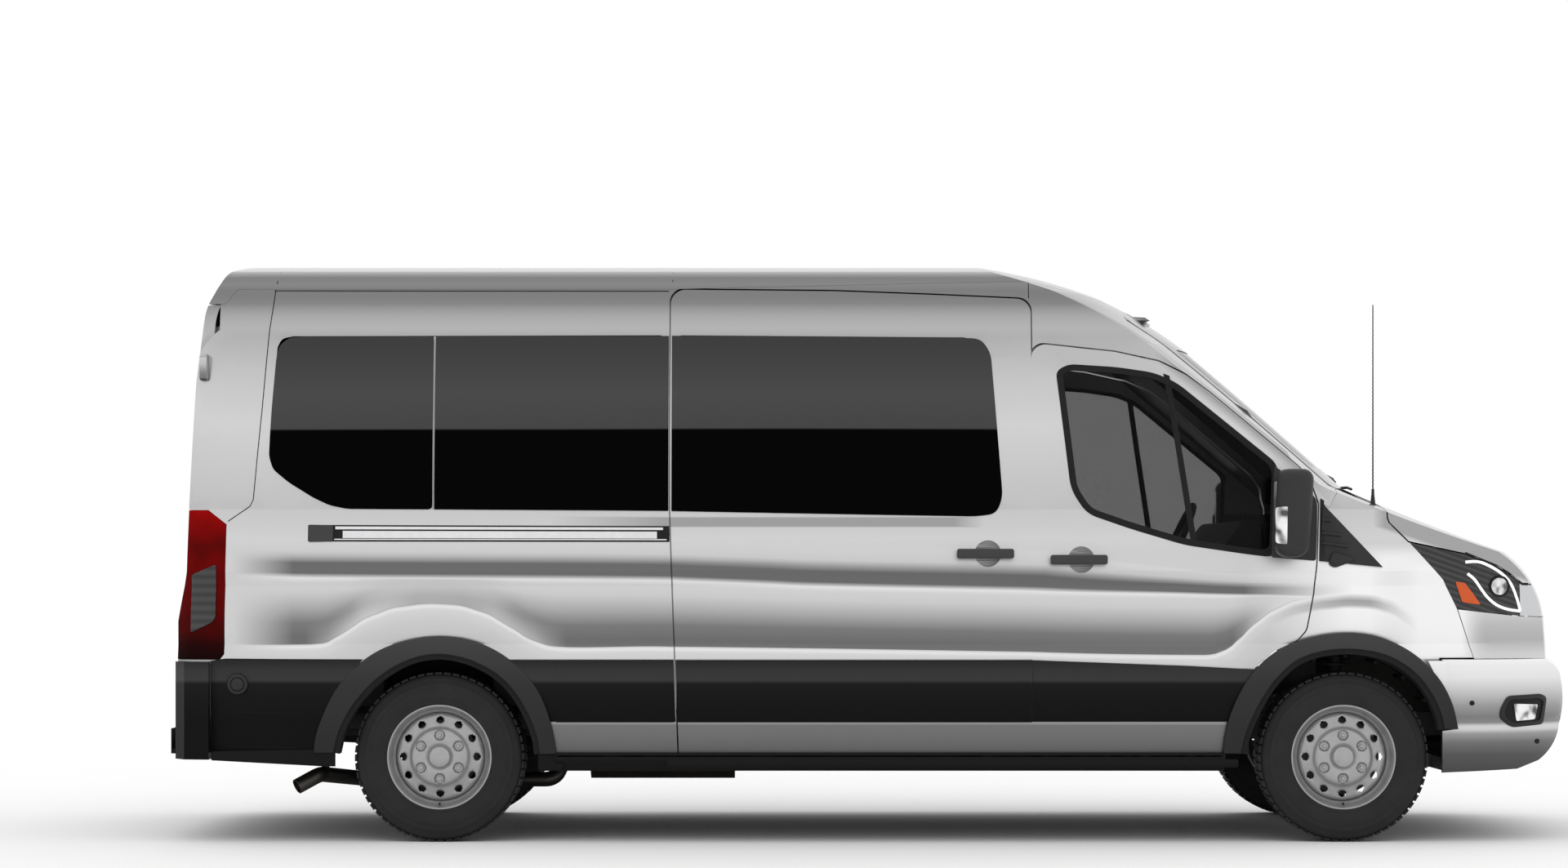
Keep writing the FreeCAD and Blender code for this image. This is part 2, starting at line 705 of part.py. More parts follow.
right_side, left_side = bodysides()
save("side_body_right", right_side)
save("side_body_left", left_side)
save("roof_panel", roof_panel())
save("windscreen", windscreen())
save("side_glass", side_glass())
save("sliding_door", sliding_door())
save("sliding_door_glass", flank_glass.common(right_prism(door_window_shares, -seat_gap, window_corner)))
save("sliding_door_trim", door_band(sliding_door_shares))
door = front_door()
save("front_door_right", door)
save("front_door_left", mirrored(door))
rear = rear_door()
save("rear_door_right", rear)
save("rear_door_left", mirrored(rear))
pane = rear_glass()
save("rear_glass_right", pane)
save("rear_glass_left", mirrored(pane))
save("hood", hood())
save("front_fenders", pair(front_fender()))
save("headlamps", pair(headlamp()))
save("nose_panels", pair(nose_panel()))
save("grille", grille())


# Bumpers, cladding, lamps and other outer pieces

bumper_plan_shares = ((0.1080, 0.0000), (0.1997, 0.0000), (0.2536, 0.0000), (0.2797, 0.0000))
bumper_rear_half = 1004.0
bumper_side_half = 925.0
bumper_corner_half = 745.0
bumper_front_half = 500.0
bumper_wall = 30.0
bumper_shift = 1.0
tower_inner_half = 466.0
bumper_profile_shares = (
    (0.2557, 0.3106), (0.2637, 0.3020), (0.2715, 0.2860), (0.2747, 0.2462), (0.2709, 0.1970),
    (0.2624, 0.1580), (0.2504, 0.1375), (0.2291, 0.1239), (0.1080, 0.1157),
)
intake_half = 470.0
intake_low_z = 470.0
intake_high_z = 640.0
intake_bars = 3
intake_bar = 14.0
fog_half = 640.0

rear_bumper_top_z = 748.0
rear_bumper_beam_z = 628.0
rear_bumper_bottom_z = 344.0
rear_bumper_shares = (-0.4640, -0.4815, -0.4895, -0.4912)
rear_bumper_halves = (1034.0, 1012.0, 936.0, 700.0)
rear_bumper_wall = 40.0
step_half_width = 700.0
step_top_z = 458.0
step_low_z = 352.0
tread_height = 6.0
tread_count = 12
tread_offset_share = 0.25

track_front_share = (-0.7443, 0.5236)
track_back_share = (-1.1440, 0.5252)
track_height = 66.0
track_depth = 9.0
track_slot = 24.0


def front_bumper_form(inset):
    """The cambered face of the front bumper within its outline in plan."""
    p = moved_inwards(places(bumper_profile_shares), inset)
    foot = inset if inset > 0 else 0
    q = [V(x - nose_axis_x, 0, z) for x, z in p]
    low = V(0, 0, q[-1].z + foot)
    lid = V(q[0].x, 0, q[0].z + seat_gap + 3 * foot)
    edges = [line(low, V(0, 0, lid.z)), line(V(0, 0, lid.z), lid), line(lid, q[0]), arc(q[0], q[1], q[2]),
             arc(q[2], q[3], q[4]), arc(q[4], q[5], q[6]), line(q[6], q[7]),
             line(q[7], V(q[8].x, 0, low.z)), line(V(q[8].x, 0, low.z), low)]
    face = Part.Face(Part.Wire(edges))
    face.translate(V(nose_axis_x, 0, 0))
    face.rotate(V(nose_axis_x, 0, 0), V(0, 0, 1), -90)
    camber = face.revolve(V(nose_axis_x, 0, 0), V(0, 0, 1), 180)
    xs = [point(row)[0] for row in bumper_plan_shares]
    rear = V(xs[0], bumper_rear_half - inset, 0)
    side = V(xs[1], bumper_side_half - inset, 0)
    corner = V(xs[2] - inset, bumper_corner_half - inset, 0)
    front = V(xs[3], bumper_front_half - inset, 0)
    twins = [V(p.x, -p.y, 0) for p in (rear, side, corner, front)]
    plan = [arc(rear, side, corner), line(corner, front), line(front, twins[3]), line(twins[3], twins[2]),
            arc(twins[2], twins[1], twins[0]), line(twins[0], rear)]
    return camber.common(Part.Face(Part.Wire(plan)).extrude(V(0, 0, roof_height)))


def front_bumper_shell():
    """The bumper cover as an open shell."""
    outer_form = front_bumper_form(0)
    inner_form = front_bumper_form(bumper_wall)
    inner_form.translate(V(-bumper_shift, 0, 0))
    return outer_form.cut(inner_form)


def front_bumper():
    """The bumper cover with its lower intake and the openings of the fog lamps."""
    cover = front_bumper_shell()
    lip = right_prism(front_flare_outer_shares, seat_gap)
    room = Part.makeCylinder(arch_radius, bumper_rear_half - bumper_wall - tower_inner_half,
                             V(front_axle_x, bumper_wall - bumper_rear_half, tyre_radius), V(0, 1, 0))
    cover = cover.cut(lip).cut(mirrored(lip)).cut(room).cut(mirrored(room))
    outboard = block(0, overall_length, -side_reach, -fog_half, 0, roof_height)
    lamp = right_prism(fog_lamp_shares).common(outboard)
    cover = cover.cut(lamp).cut(mirrored(lamp))
    span = 2 * intake_half
    rows = intake_bars + 1
    height = (intake_high_z - intake_low_z - intake_bars * intake_bar) / rows
    for i in range(rows):
        z = intake_low_z + i * (height + intake_bar)
        slot = block(front_axle_x + front_overhang / 2, overall_length, -span / 2, span / 2, z, z + height)
        cover = cover.cut(slot)
    return cover


def fog_lamp():
    """The right fog lamp, its lens flush in the bumper."""
    side = block(0, overall_length, -side_reach, -fog_half, 0, roof_height)
    return front_bumper_shell().common(right_prism(fog_lamp_shares, -seat_gap)).common(side)


def rear_bumper():
    """The black rear bumper that wraps both corners, with its step and treads."""
    xs = [share * overall_length for share in rear_bumper_shares]
    def plan(inset, back):
        right = [(x + (back if i else 0), -(half - inset)) for i, (x, half) in
                 enumerate(zip(xs, rear_bumper_halves))]
        left = [(x, -y) for x, y in reversed(right)]
        return right + left
    low = rear_bumper_bottom_z
    body = plan_prism(plan(0, 0), low, rear_bumper_top_z, 0)
    hollow_points = [(xs[0] + rear_bumper_wall, -(rear_bumper_halves[0] - rear_bumper_wall)),
                     (xs[1] + rear_bumper_wall, -(rear_bumper_halves[1] - rear_bumper_wall)),
                     (xs[2] + rear_bumper_wall, -(rear_bumper_halves[2] - rear_bumper_wall)),
                     (xs[3] + rear_bumper_wall, -rear_bumper_halves[3])]
    hollow_points = hollow_points + [(x, -y) for x, y in reversed(hollow_points)]
    body = body.cut(plan_prism(hollow_points, low + rear_bumper_wall, rear_bumper_top_z + overrun, 0))
    door_room = rear_door_half + shut_gap
    body = body.cut(block(-overall_length, 0, -door_room, door_room, rear_bumper_beam_z,
                          rear_bumper_top_z + overrun))
    back = -overall_length / 2
    step = [(xs[3] + rear_bumper_wall / 2, -step_half_width), (back, -step_half_width + rear_bumper_wall),
            (back, step_half_width - rear_bumper_wall), (xs[3] + rear_bumper_wall / 2, step_half_width)]
    body = body.fuse(plan_prism(step, step_low_z, step_top_z, 0))
    pitch = 2 * (step_half_width - rear_bumper_wall) / tread_count
    for i in range(tread_count):
        y = -step_half_width + rear_bumper_wall + (i + tread_offset_share) * pitch
        body = body.fuse(block(back + tread_height, xs[3], y, y + pitch / 2, step_top_z - tread_height,
                               step_top_z + tread_height))
    return body.cut(flank_form(-seat_gap))


def tail_lamp():
    """The right tail lamp, wrapped round the rear corner of the body."""
    prism = right_prism(tail_lamp_shares, -seat_gap)
    outside = block(-overall_length, 0, -side_reach, -rear_door_half - 2 * shut_gap, 0, roof_height)
    return shell.common(prism).common(outside)


def flare(outer_table, inner_table):
    """The black lip round a right hand wheel arch, reaching in to the body's surface."""
    ring = side_prism(places(outer_table), -half_body - flare_depth, -arch_inner_half, 0)
    bore = side_prism(places(inner_table), -side_reach, 0, 0)
    below = block(-overall_length, overall_length, -side_reach, 0, 0, sill_z)
    return ring.cut(bore).cut(below).cut(flank_form(-seat_gap))


def side_sill():
    """The right sill under the doors with its shallow side step."""
    front_x = point(front_flare_outer_shares[0])[0] + shut_gap
    rear_x = point(rear_flare_outer_shares[-1])[0] - shut_gap
    section = [(-half_body - cladding_depth, sill_z - seam_gap),
               (-half_body - cladding_depth, sill_z - sill_inset),
               (-half_sill + cladding_depth, sill_bottom_z), (-sill_inner_half, sill_bottom_z),
               (-sill_inner_half, sill_z - seam_gap)]
    return end_prism(section, rear_x, front_x, 0)


def slide_track():
    """The channel in the right side in which the sliding door's rear roller runs."""
    front = point(track_front_share)
    back = point(track_back_share)
    half = track_height / 2
    outline = [(back[0], back[1] - half), (front[0], front[1] - half), (front[0], front[1] + half),
               (back[0], back[1] + half)]
    cover = flank_form(-track_depth).cut(flank_form(-seat_gap))
    rail = cover.common(side_prism(outline, -side_reach, -wall, 0))
    slot = [(back[0] + track_height, back[1] - track_slot / 2),
            (front[0] - track_height, front[1] - track_slot / 2),
            (front[0] - track_height, front[1] + track_slot / 2),
            (back[0] + track_height, back[1] + track_slot / 2)]
    return rail.cut(side_prism(slot, -side_reach, -wall, 0))


flare_front_x = point(rear_flare_outer_shares[-1])[0]
clad = cladding_band(flare_front_x, point(sliding_door_shares[-2])[0] - shut_gap)
clad_left = cladding_band(flare_front_x, point(front_door_shares[0])[0] - shut_gap)
clad_rear = flank_cladding.common(right_prism(rear_corner_cladding_shares))
clad_rear = clad_rear.cut(right_prism(rear_flare_outer_shares, seat_gap))
save("front_bumper", front_bumper())
save("fog_lamps", pair(fog_lamp()))
save("rear_bumper", rear_bumper())
save("tail_lamps", pair(tail_lamp()))
save("side_cladding", Part.makeCompound([clad, mirrored(clad_left), clad_rear, mirrored(clad_rear)]))
save("arch_flares", Part.makeCompound([pair(flare(front_flare_outer_shares, front_flare_inner_shares)),
                                       pair(flare(rear_flare_outer_shares, rear_flare_inner_shares))]))
save("side_sills", pair(side_sill()))
save("slide_track", slide_track())


# Wheels, hubs and steering

rim_lip = 8.0
rim_flange_half = 106.0
rim_bead_half = 92.0
rim_bead_radius = 204.0
rim_well_inner = -20.0
rim_well_outer = 46.0
disc_edge_t = 56.0
disc_rise_t = 70.0
disc_hub_t = 84.0
hub_bore_radius = 38.0
pocket_radius = 19.0
pocket_depth = 5.0
brake_radius = 158.0
brake_thickness = 26.0
brake_t = 20.0
spindle_radius = 60.0
kingpin_half = 760.0
kingpin_radius = 24.0
knuckle_low_z = 245.0
knuckle_high_z = 520.0
hub_gap = 0.4
slim_share = 0.7


def wheel_profile(points):
    """A closed (radius, t) profile in the XZ plane, t outward from the wheel's middle."""
    return Part.Wire([line(V(points[i - 1][0], 0, points[i - 1][1]), V(points[i][0], 0, points[i][1]))
                      for i in range(len(points))])


def spun(wire):
    """A profile turned a whole turn about the wheel's axis."""
    return Part.Face(wire).revolve(V(0, 0, 0), V(0, 0, 1), 360)


def rim():
    """A pressed steel wheel: a drop centre rim with a dished disc, holes, lug nuts and a cap."""
    f, b = rim_flange_half, rim_bead_half
    outside = [(rim_radius, f), (rim_bead_radius, b), (rim_bead_radius, disc_edge_t + rim_lip),
               (rim_well_radius, rim_well_outer), (rim_well_radius, rim_well_inner),
               (rim_bead_radius, rim_well_inner - 2 * rim_lip), (rim_bead_radius, -b), (rim_radius, -f)]
    inside = [(r - rim_wall, t) for r, t in reversed(outside)]
    barrel = spun(wheel_profile(outside + inside))
    t = disc_thickness
    seat = rim_well_radius - rim_wall / 2
    disc = [(hub_bore_radius, disc_hub_t), (hub_radius, disc_hub_t), (wheel_hole_circle, disc_rise_t),
            (seat, disc_edge_t - t), (seat, disc_edge_t - 2 * t), (wheel_hole_circle, disc_rise_t - t),
            (hub_radius - t / 2, disc_hub_t - t), (hub_bore_radius, disc_hub_t - t)]
    wheel = barrel.fuse(spun(wheel_profile(disc)))
    for i in range(wheel_hole_count):
        a = 2 * math.pi * i / wheel_hole_count
        place = V(wheel_hole_circle * math.sin(a), wheel_hole_circle * math.cos(a), 0)
        wheel = wheel.cut(Part.makeCylinder(wheel_hole_radius, 2 * disc_hub_t, place))
    for i in range(lug_count):
        a = 2 * math.pi * i / lug_count
        place = V(math.sin(a), math.cos(a), 0) * lug_circle_radius + V(0, 0, disc_hub_t - pocket_depth)
        wheel = wheel.cut(Part.makeCylinder(pocket_radius, 2 * pocket_depth, place))
        wheel = wheel.fuse(Part.makeCylinder(lug_radius, lug_height + pocket_depth, place))
    cap = [(0, disc_hub_t - t), (hub_bore_radius + rim_wall, disc_hub_t - t),
           (cap_radius, disc_hub_t + cap_height),
           (0, disc_hub_t + cap_height + rim_wall)]
    return wheel.fuse(spun(wheel_profile(cap)))


def tyre():
    """A radial tyre with bulged walls, sloping shoulders and a flat tread, seated on the rim."""
    g = rim_seat_gap
    half = tyre_width / 2
    f, b = rim_flange_half, rim_bead_half
    outside = [(rim_bead_radius + g, b - rim_lip), (rim_radius + g, f + g), (tyre_bulge_radius, half),
               (tyre_radius - tyre_crown_drop, half - tyre_shoulder / 2),
               (tyre_radius, half - tyre_shoulder)]
    inside = [(radius, -t) for radius, t in reversed(outside)]
    return spun(wheel_profile(outside + inside))


def placed_wheel(shape, axle_x, side):
    """A wheel shape set upright at its axle, its t axis pointing outward on its own side."""
    copy = shape.copy()
    copy.rotate(V(0, 0, 0), V(1, 0, 0), -90 * side)
    copy.translate(V(axle_x, side * track / 2, tyre_radius))
    return copy


def knuckle():
    """The right steering knuckle with its upright, arms, hub and brake disc."""
    hub_y = -(track / 2 + disc_hub_t - disc_thickness - hub_gap)
    upright = tube(V(front_axle_x, -kingpin_half, knuckle_low_z),
                   V(front_axle_x, -kingpin_half, knuckle_high_z), kingpin_radius)
    spindle = Part.makeCylinder(spindle_radius, -hub_y - kingpin_half + kingpin_radius,
                                V(front_axle_x, hub_y, tyre_radius), V(0, 1, 0))
    disc_start = V(front_axle_x, -(track / 2 + brake_t), tyre_radius)
    brake = Part.makeCylinder(brake_radius, brake_thickness, disc_start, V(0, 1, 0))
    arm_z = tyre_radius - spindle_radius - kingpin_radius
    arm_end = V(front_axle_x - brake_radius, -kingpin_half + kingpin_radius, arm_z)
    arm = tube(V(front_axle_x, -kingpin_half, arm_z), arm_end, kingpin_radius * slim_share)
    return brake.fuse(spindle).fuse(upright).fuse(arm)


# Underbody

rail_half = 430.0
rail_width = 70.0
rail_low_z = 420.0
rail_high_z = 520.0
rail_wall = 5.0
cross_count = 4
tow_hole_radius = 6.5
tow_hole_spacing_x = 200.0
tow_hole_inset_x = 120.0
jack_pad_radius = 30.0
jack_pad_height = 15.0
jack_pad_x_share = -0.2243
floor_half = 945.0
floor_front_x_share = (-0.0227, 0.0000)
floor_rear_x_share = (-1.2651, 0.0000)
toe_half = 540.0
rib_half = 850.0
rib_height = 8.0
rib_count = 18
liner_thickness = 6.0
liner_gap = 8.0
liner_inner_half = 650.0
front_liner_half = 775.0
axle_tube_radius = 44.0
axle_case_radius = 150.0
axle_case_half = 110.0
axle_nose_length = 225.0
drum_radius = 150.0
drum_inner_half = 820.0
spring_half = 600.0
spring_width = 60.0
spring_leaf = 12.0
spring_reach = 640.0
spring_end_z = 470.0
spring_mid_z = 440.0
shaft_radius = 38.0
joint_radius = 55.0
shaft_front_x_share = -0.1900
joint_share = 0.015
centre_bearing_share = 0.45
engine_length = 640.0
engine_width = 560.0
engine_low_z = 470.0
engine_high_z = 1010.0
engine_front_gap = 190.0
tank_length = 900.0
tank_inner_half = 80.0
tank_outer_half = 380.0
tank_low_z = 250.0
tank_corner = 50.0


def wheel_liner(axle_x, inner_half, closed):
    """The right wheel housing, half a tube over the tyre, its inner wall closed at the rear."""
    radius = arch_radius - liner_gap
    outer_half = half_body - 2 * wall
    start = V(axle_x, -outer_half, tyre_radius)
    length = outer_half - inner_half
    body = Part.makeCylinder(radius, length, start, V(0, 1, 0))
    room = length - (liner_thickness if closed else -liner_thickness)
    body = body.cut(Part.makeCylinder(radius - liner_thickness, room, start, V(0, 1, 0)))
    low = block(axle_x - 2 * radius, axle_x + 2 * radius, -side_reach, 0, -overrun, rail_high_z)
    return body.cut(low)


def housing_room(axle_x, inner_half):
    """The space of both wheel housings on an axle."""
    start = V(axle_x, -side_reach, tyre_radius)
    room = Part.makeCylinder(arch_radius, side_reach - inner_half, start, V(0, 1, 0))
    return room.fuse(mirrored(room))


def floor_pan():
    """The flat floor with pressed ribs, cut out round the four wheel housings."""
    front_x = point(floor_front_x_share)[0]
    rear_x = point(floor_rear_x_share)[0]
    pan = block(rear_x, front_x, -floor_half, floor_half, floor_z, floor_z + floor_thickness)
    pitch = 2 * rib_half / rib_count
    for i in range(rib_count):
        y = -rib_half + i * pitch + pitch / 4
        rib = block(rear_x + wall, front_x - wall, y, y + pitch / 2, floor_z + floor_thickness,
                    floor_z + floor_thickness + rib_height)
        pan = pan.fuse(rib)
    pan = pan.cut(housing_room(rear_axle_x, liner_inner_half - seat_gap))
    pan = pan.cut(housing_room(front_axle_x, toe_half))
    return pan.common(flank_form(wall + shut_gap))


def chassis_rails():
    """Two box rails along the floor with crossmembers, jack pads and the tow bar's bolt holes."""
    rear_x = -overall_length / 2 + rear_door_depth_x
    front_x = front_axle_x + front_overhang - rear_door_depth_x
    frame = None
    for side in (-1, 1):
        y = side * rail_half
        half = rail_width / 2
        bore = half - rail_wall
        rail = block(rear_x, front_x, y - half, y + half, rail_low_z, rail_high_z)
        rail = rail.cut(block(rear_x - wall, front_x + wall, y - bore, y + bore,
                              rail_low_z + rail_wall, rail_high_z - rail_wall))
        for k in (0, 1):
            hole_x = rear_x + tow_hole_inset_x + k * tow_hole_spacing_x
            hole = Part.makeCylinder(tow_hole_radius, 3 * rail_wall, V(hole_x, y, rail_low_z - rail_wall))
            rail = rail.cut(hole)
        pad_foot = V(front_axle_x + jack_pad_x_share * wheelbase, y, rail_low_z - jack_pad_height)
        rail = rail.fuse(Part.makeCylinder(jack_pad_radius, jack_pad_height + rail_wall, pad_foot))
        frame = rail if frame is None else frame.fuse(rail)
    span = rail_half - rail_width / 2
    for i in range(cross_count):
        x = rear_x + rail_width + i * (front_x - rear_x - 3 * rail_width) / (cross_count - 1)
        low = (rail_low_z + rail_high_z) / 2
        frame = frame.fuse(block(x, x + rail_width, -span, span, low, rail_high_z - rail_wall))
    return frame


def rear_axle():
    """The live rear axle with its final drive case, brake drums and hubs."""
    hub_y = track / 2 + disc_hub_t - disc_thickness - hub_gap
    centre = V(rear_axle_x, 0, tyre_radius)
    body = tube(V(rear_axle_x, -drum_inner_half, tyre_radius), V(rear_axle_x, drum_inner_half, tyre_radius),
                axle_tube_radius)
    case = Part.makeSphere(axle_case_radius, centre)
    case = case.common(block(rear_axle_x - axle_case_radius, rear_axle_x + axle_case_radius,
                             -axle_case_half, axle_case_half, 0, roof_height))
    nose = tube(centre, centre + V(axle_nose_length, 0, 0), joint_radius)
    body = body.fuse(case).fuse(nose)
    for side in (-1, 1):
        body = body.fuse(tube(V(rear_axle_x, side * drum_inner_half, tyre_radius),
                              V(rear_axle_x, side * (track / 2 + brake_t), tyre_radius), drum_radius))
        body = body.fuse(tube(V(rear_axle_x, side * drum_inner_half, tyre_radius),
                              V(rear_axle_x, side * hub_y, tyre_radius), spindle_radius))
    return body


def leaf_spring():
    """The right leaf spring, a bowed pack of leaves clamped over the axle."""
    y = -spring_half
    pack = None
    leaves = 3
    for i in range(leaves):
        reach = spring_reach * (1 - i / (leaves + 1))
        mid = spring_mid_z - spring_leaf * i
        end = spring_mid_z + (spring_end_z - spring_mid_z) * (reach / spring_reach) ** 2 - spring_leaf * i
        top = arc(V(rear_axle_x - reach, y, end), V(rear_axle_x, y, mid), V(rear_axle_x + reach, y, end))
        low = arc(V(rear_axle_x + reach, y, end - spring_leaf), V(rear_axle_x, y, mid - spring_leaf),
                  V(rear_axle_x - reach, y, end - spring_leaf))
        ends = [line(V(rear_axle_x + reach, y, end), V(rear_axle_x + reach, y, end - spring_leaf)),
                line(V(rear_axle_x - reach, y, end - spring_leaf), V(rear_axle_x - reach, y, end))]
        leaf = Part.Face(Part.Wire([top, ends[0], low, ends[1]]))
        leaf.translate(V(0, -spring_width / 2, 0))
        leaf = leaf.extrude(V(0, spring_width, 0))
        pack = leaf if pack is None else pack.fuse(leaf)
    low_z = tyre_radius + axle_tube_radius + seat_gap
    clamp = block(rear_axle_x - spring_width, rear_axle_x + spring_width, y - spring_width / 2,
                  y + spring_width / 2, low_z, spring_mid_z)
    pack = pack.fuse(clamp)
    for side in (-1, 1):
        x = rear_axle_x + side * spring_reach
        eye_start = V(x, y - spring_width / 2, spring_end_z)
        eye = Part.makeCylinder(2 * spring_leaf, spring_width, eye_start, V(0, 1, 0))
        hanger = block(x - 2 * spring_leaf, x + 2 * spring_leaf, y - spring_width / 2, y + spring_width / 2,
                       spring_end_z, floor_z - seat_gap)
        pack = pack.fuse(eye).fuse(hanger)
    return pack


def propshaft():
    """The two piece propeller shaft with its joints and centre bearing."""
    start = V(front_axle_x + shaft_front_x_share * wheelbase, 0, rail_low_z)
    end = V(rear_axle_x + axle_nose_length + seat_gap, 0, tyre_radius)
    middle = start + (end - start) * centre_bearing_share
    shaft = tube(start, middle, shaft_radius).fuse(tube(middle, end, shaft_radius))
    half_joint = (end - start) * joint_share
    for place in (start + half_joint, middle, end - half_joint * 2):
        shaft = shaft.fuse(tube(place - half_joint, place + half_joint, joint_radius))
    return shaft.common(block(end.x, start.x - seat_gap, -joint_radius, joint_radius, 0, roof_height))


def engine_block():
    """The engine and gearbox as one plain block in their real place."""
    front = front_axle_x + front_overhang - engine_front_gap - engine_length / 3
    engine = block(front - engine_length, front, -engine_width / 2, engine_width / 2, engine_low_z,
                   engine_high_z)
    gearbox = block(front_axle_x + shaft_front_x_share * wheelbase, front - engine_length,
                    -engine_width / 4, engine_width / 4, rail_low_z - spring_width / 2,
                    rail_high_z - rail_wall)
    return engine.fuse(gearbox)


def fuel_tank():
    """The fuel tank, slung inside the left rail."""
    x = -tank_length / 2
    top_z = floor_z - seat_gap
    points = [(tank_inner_half, tank_low_z), (tank_outer_half, tank_low_z), (tank_outer_half, top_z),
              (tank_inner_half, top_z)]
    return end_prism(points, x, x + tank_length, tank_corner)


rim_shape = rim()
tyre_shape = tyre()
for label, axle_x in (("front", front_axle_x), ("rear", rear_axle_x)):
    for hand, side in (("right", -1), ("left", 1)):
        save("wheel_" + label + "_" + hand, placed_wheel(rim_shape, axle_x, side))
        save("tyre_" + label + "_" + hand, placed_wheel(tyre_shape, axle_x, side))
save("knuckle_right", knuckle())
save("knuckle_left", mirrored(knuckle()))
save("wheel_liners", Part.makeCompound([pair(wheel_liner(rear_axle_x, liner_inner_half, True)),
                                        pair(wheel_liner(front_axle_x, front_liner_half, False))]))
save("floor_pan", floor_pan())
save("chassis_rails", chassis_rails())
save("rear_axle", rear_axle())
save("leaf_springs", pair(leaf_spring()))
save("propshaft", propshaft())
save("engine_block", engine_block())
save("fuel_tank", fuel_tank())


# Front suspension, exhaust and small outer parts

subframe_half = 400.0
subframe_low_z = 300.0
subframe_high_z = 380.0
subframe_length = 420.0
arm_radius = 26.0
strut_half = 690.0
strut_radius = 28.0
strut_foot = 10.0
strut_top_z = 930.0
spring_coil_radius = 62.0
spring_wire_radius = 7.0
spring_turns = 5
coil_slope_share = 0.12
spring_low_z = 728.0
tower_half = 60.0
frame_hole_share = 0.8
cup_radius = 34.0
foot_reach = 779.0
ball_gap = 0.5
pipe_radius = 32.0
pipe_bore = 29.0
pipe_bend = 110.0
tail_bend = 60.0
tail_ahead = 350.0
tail_behind = 510.0
tail_end = 600.0
pipe_half = 560.0
pipe_z = 275.0
silencer_radius = 95.0
silencer_length = 620.0
mirror_inner_half = 1078.0
mirror_outer_half = 1237.0
mirror_low_z = 1176.0
mirror_high_z = 1544.0
mirror_rear_x_share = (-0.0797, 0.6155)
mirror_front_x_share = (-0.0424, 0.6155)
mirror_corner = 45.0
mirror_plan_corner = 32.0
mirror_arm_radius = 22.0
sail_depth = 14.0
handle_height = 30.0
handle_half_length = 118.0
handle_front_share = (-0.2931, 0.4817)
antenna_foot_share = (0.0456, 0.5679)
antenna_top_share = (0.0456, 0.9282)
antenna_half = 840.0
antenna_radius = 4.0
antenna_cone = 16.0
antenna_cone_height = 60.0
cowl_rear_share = (0.0227, 0.6065)
cowl_front_share = (0.0475, 0.5909)
lug_half = 560.0
wiper_radius = 7.0
wiper_length = 620.0
wiper_pivot_radius = 10.5
wiper_lean_share = 0.9
wiper_right = -570.0
wiper_left = 80.0
stop_lamp_half = 210.0
stop_lamp_low_share = (-1.2643, 0.9224)
stop_lamp_high_share = (-1.2344, 0.9856)


def front_suspension():
    """The front crossmember, lower arms and the two struts with their coil springs."""
    z = (subframe_low_z + subframe_high_z) / 2
    frame = block(front_axle_x - subframe_length / 2, front_axle_x + subframe_length / 2, -subframe_half,
                  subframe_half, subframe_low_z, subframe_high_z)
    frame = frame.cut(block(front_axle_x - subframe_length / 4, front_axle_x + subframe_length / 4,
                            -subframe_half * frame_hole_share, subframe_half * frame_hole_share,
                            0, roof_height))
    tower = block(front_axle_x - subframe_length / 4, front_axle_x + subframe_length / 4, -subframe_half,
                  -subframe_half + rail_width, subframe_high_z, rail_low_z - seat_gap)
    frame = frame.fuse(tower).fuse(mirrored(tower))
    ball = V(front_axle_x, -kingpin_half, knuckle_low_z - 2 * arm_radius)
    for side in (-1, 1):
        end = V(ball.x, side * kingpin_half, ball.z)
        for reach in (-1, 1):
            start = V(front_axle_x + reach * subframe_length / 3, side * (subframe_half - arm_radius), z)
            arm = tube(start, end, arm_radius)
            frame = frame.fuse(arm)
        cup = Part.makeCylinder(cup_radius, knuckle_low_z - ball_gap - end.z + arm_radius,
                                V(end.x, end.y, end.z - arm_radius))
        frame = frame.fuse(cup)
    struts = []
    strut_low_z = knuckle_high_z + ball_gap
    for side in (-1, 1):
        low = V(front_axle_x, side * strut_half, strut_low_z)
        high = V(front_axle_x, side * strut_half, strut_top_z)
        body = tube(low, high, strut_radius)
        foot = block(front_axle_x - kingpin_radius, front_axle_x + kingpin_radius,
                     side * (strut_half - strut_radius), side * foot_reach, strut_low_z,
                     strut_low_z + strut_foot)
        plate = block(front_axle_x - tower_half, front_axle_x + tower_half, side * tower_inner_half,
                      side * (strut_half + spring_coil_radius), strut_top_z, strut_top_z + strut_foot)
        stand = block(front_axle_x - tower_half, front_axle_x + tower_half, side * tower_inner_half,
                      side * (tower_inner_half + strut_foot), rail_low_z, strut_top_z + strut_foot)
        body = body.fuse(foot).fuse(plate).fuse(stand)
        for k in range(spring_turns):
            turn_z = spring_low_z + (strut_top_z - spring_low_z) * (k + 1) / (spring_turns + 1)
            ring = Part.makeTorus(spring_coil_radius, spring_wire_radius, V(low.x, low.y, turn_z),
                                  V(0, coil_slope_share, 1))
            body = body.fuse(ring)
        plate_low = Part.makeCylinder(spring_coil_radius + 2 * spring_wire_radius, spring_wire_radius,
                                      V(low.x, low.y, spring_low_z))
        stay = tube(V(low.x + spring_coil_radius, low.y, strut_top_z),
                    V(low.x + spring_coil_radius, low.y, spring_low_z), spring_wire_radius)
        body = body.fuse(plate_low).fuse(stay)
        struts.append(body)
    return Part.makeCompound([frame] + struts)


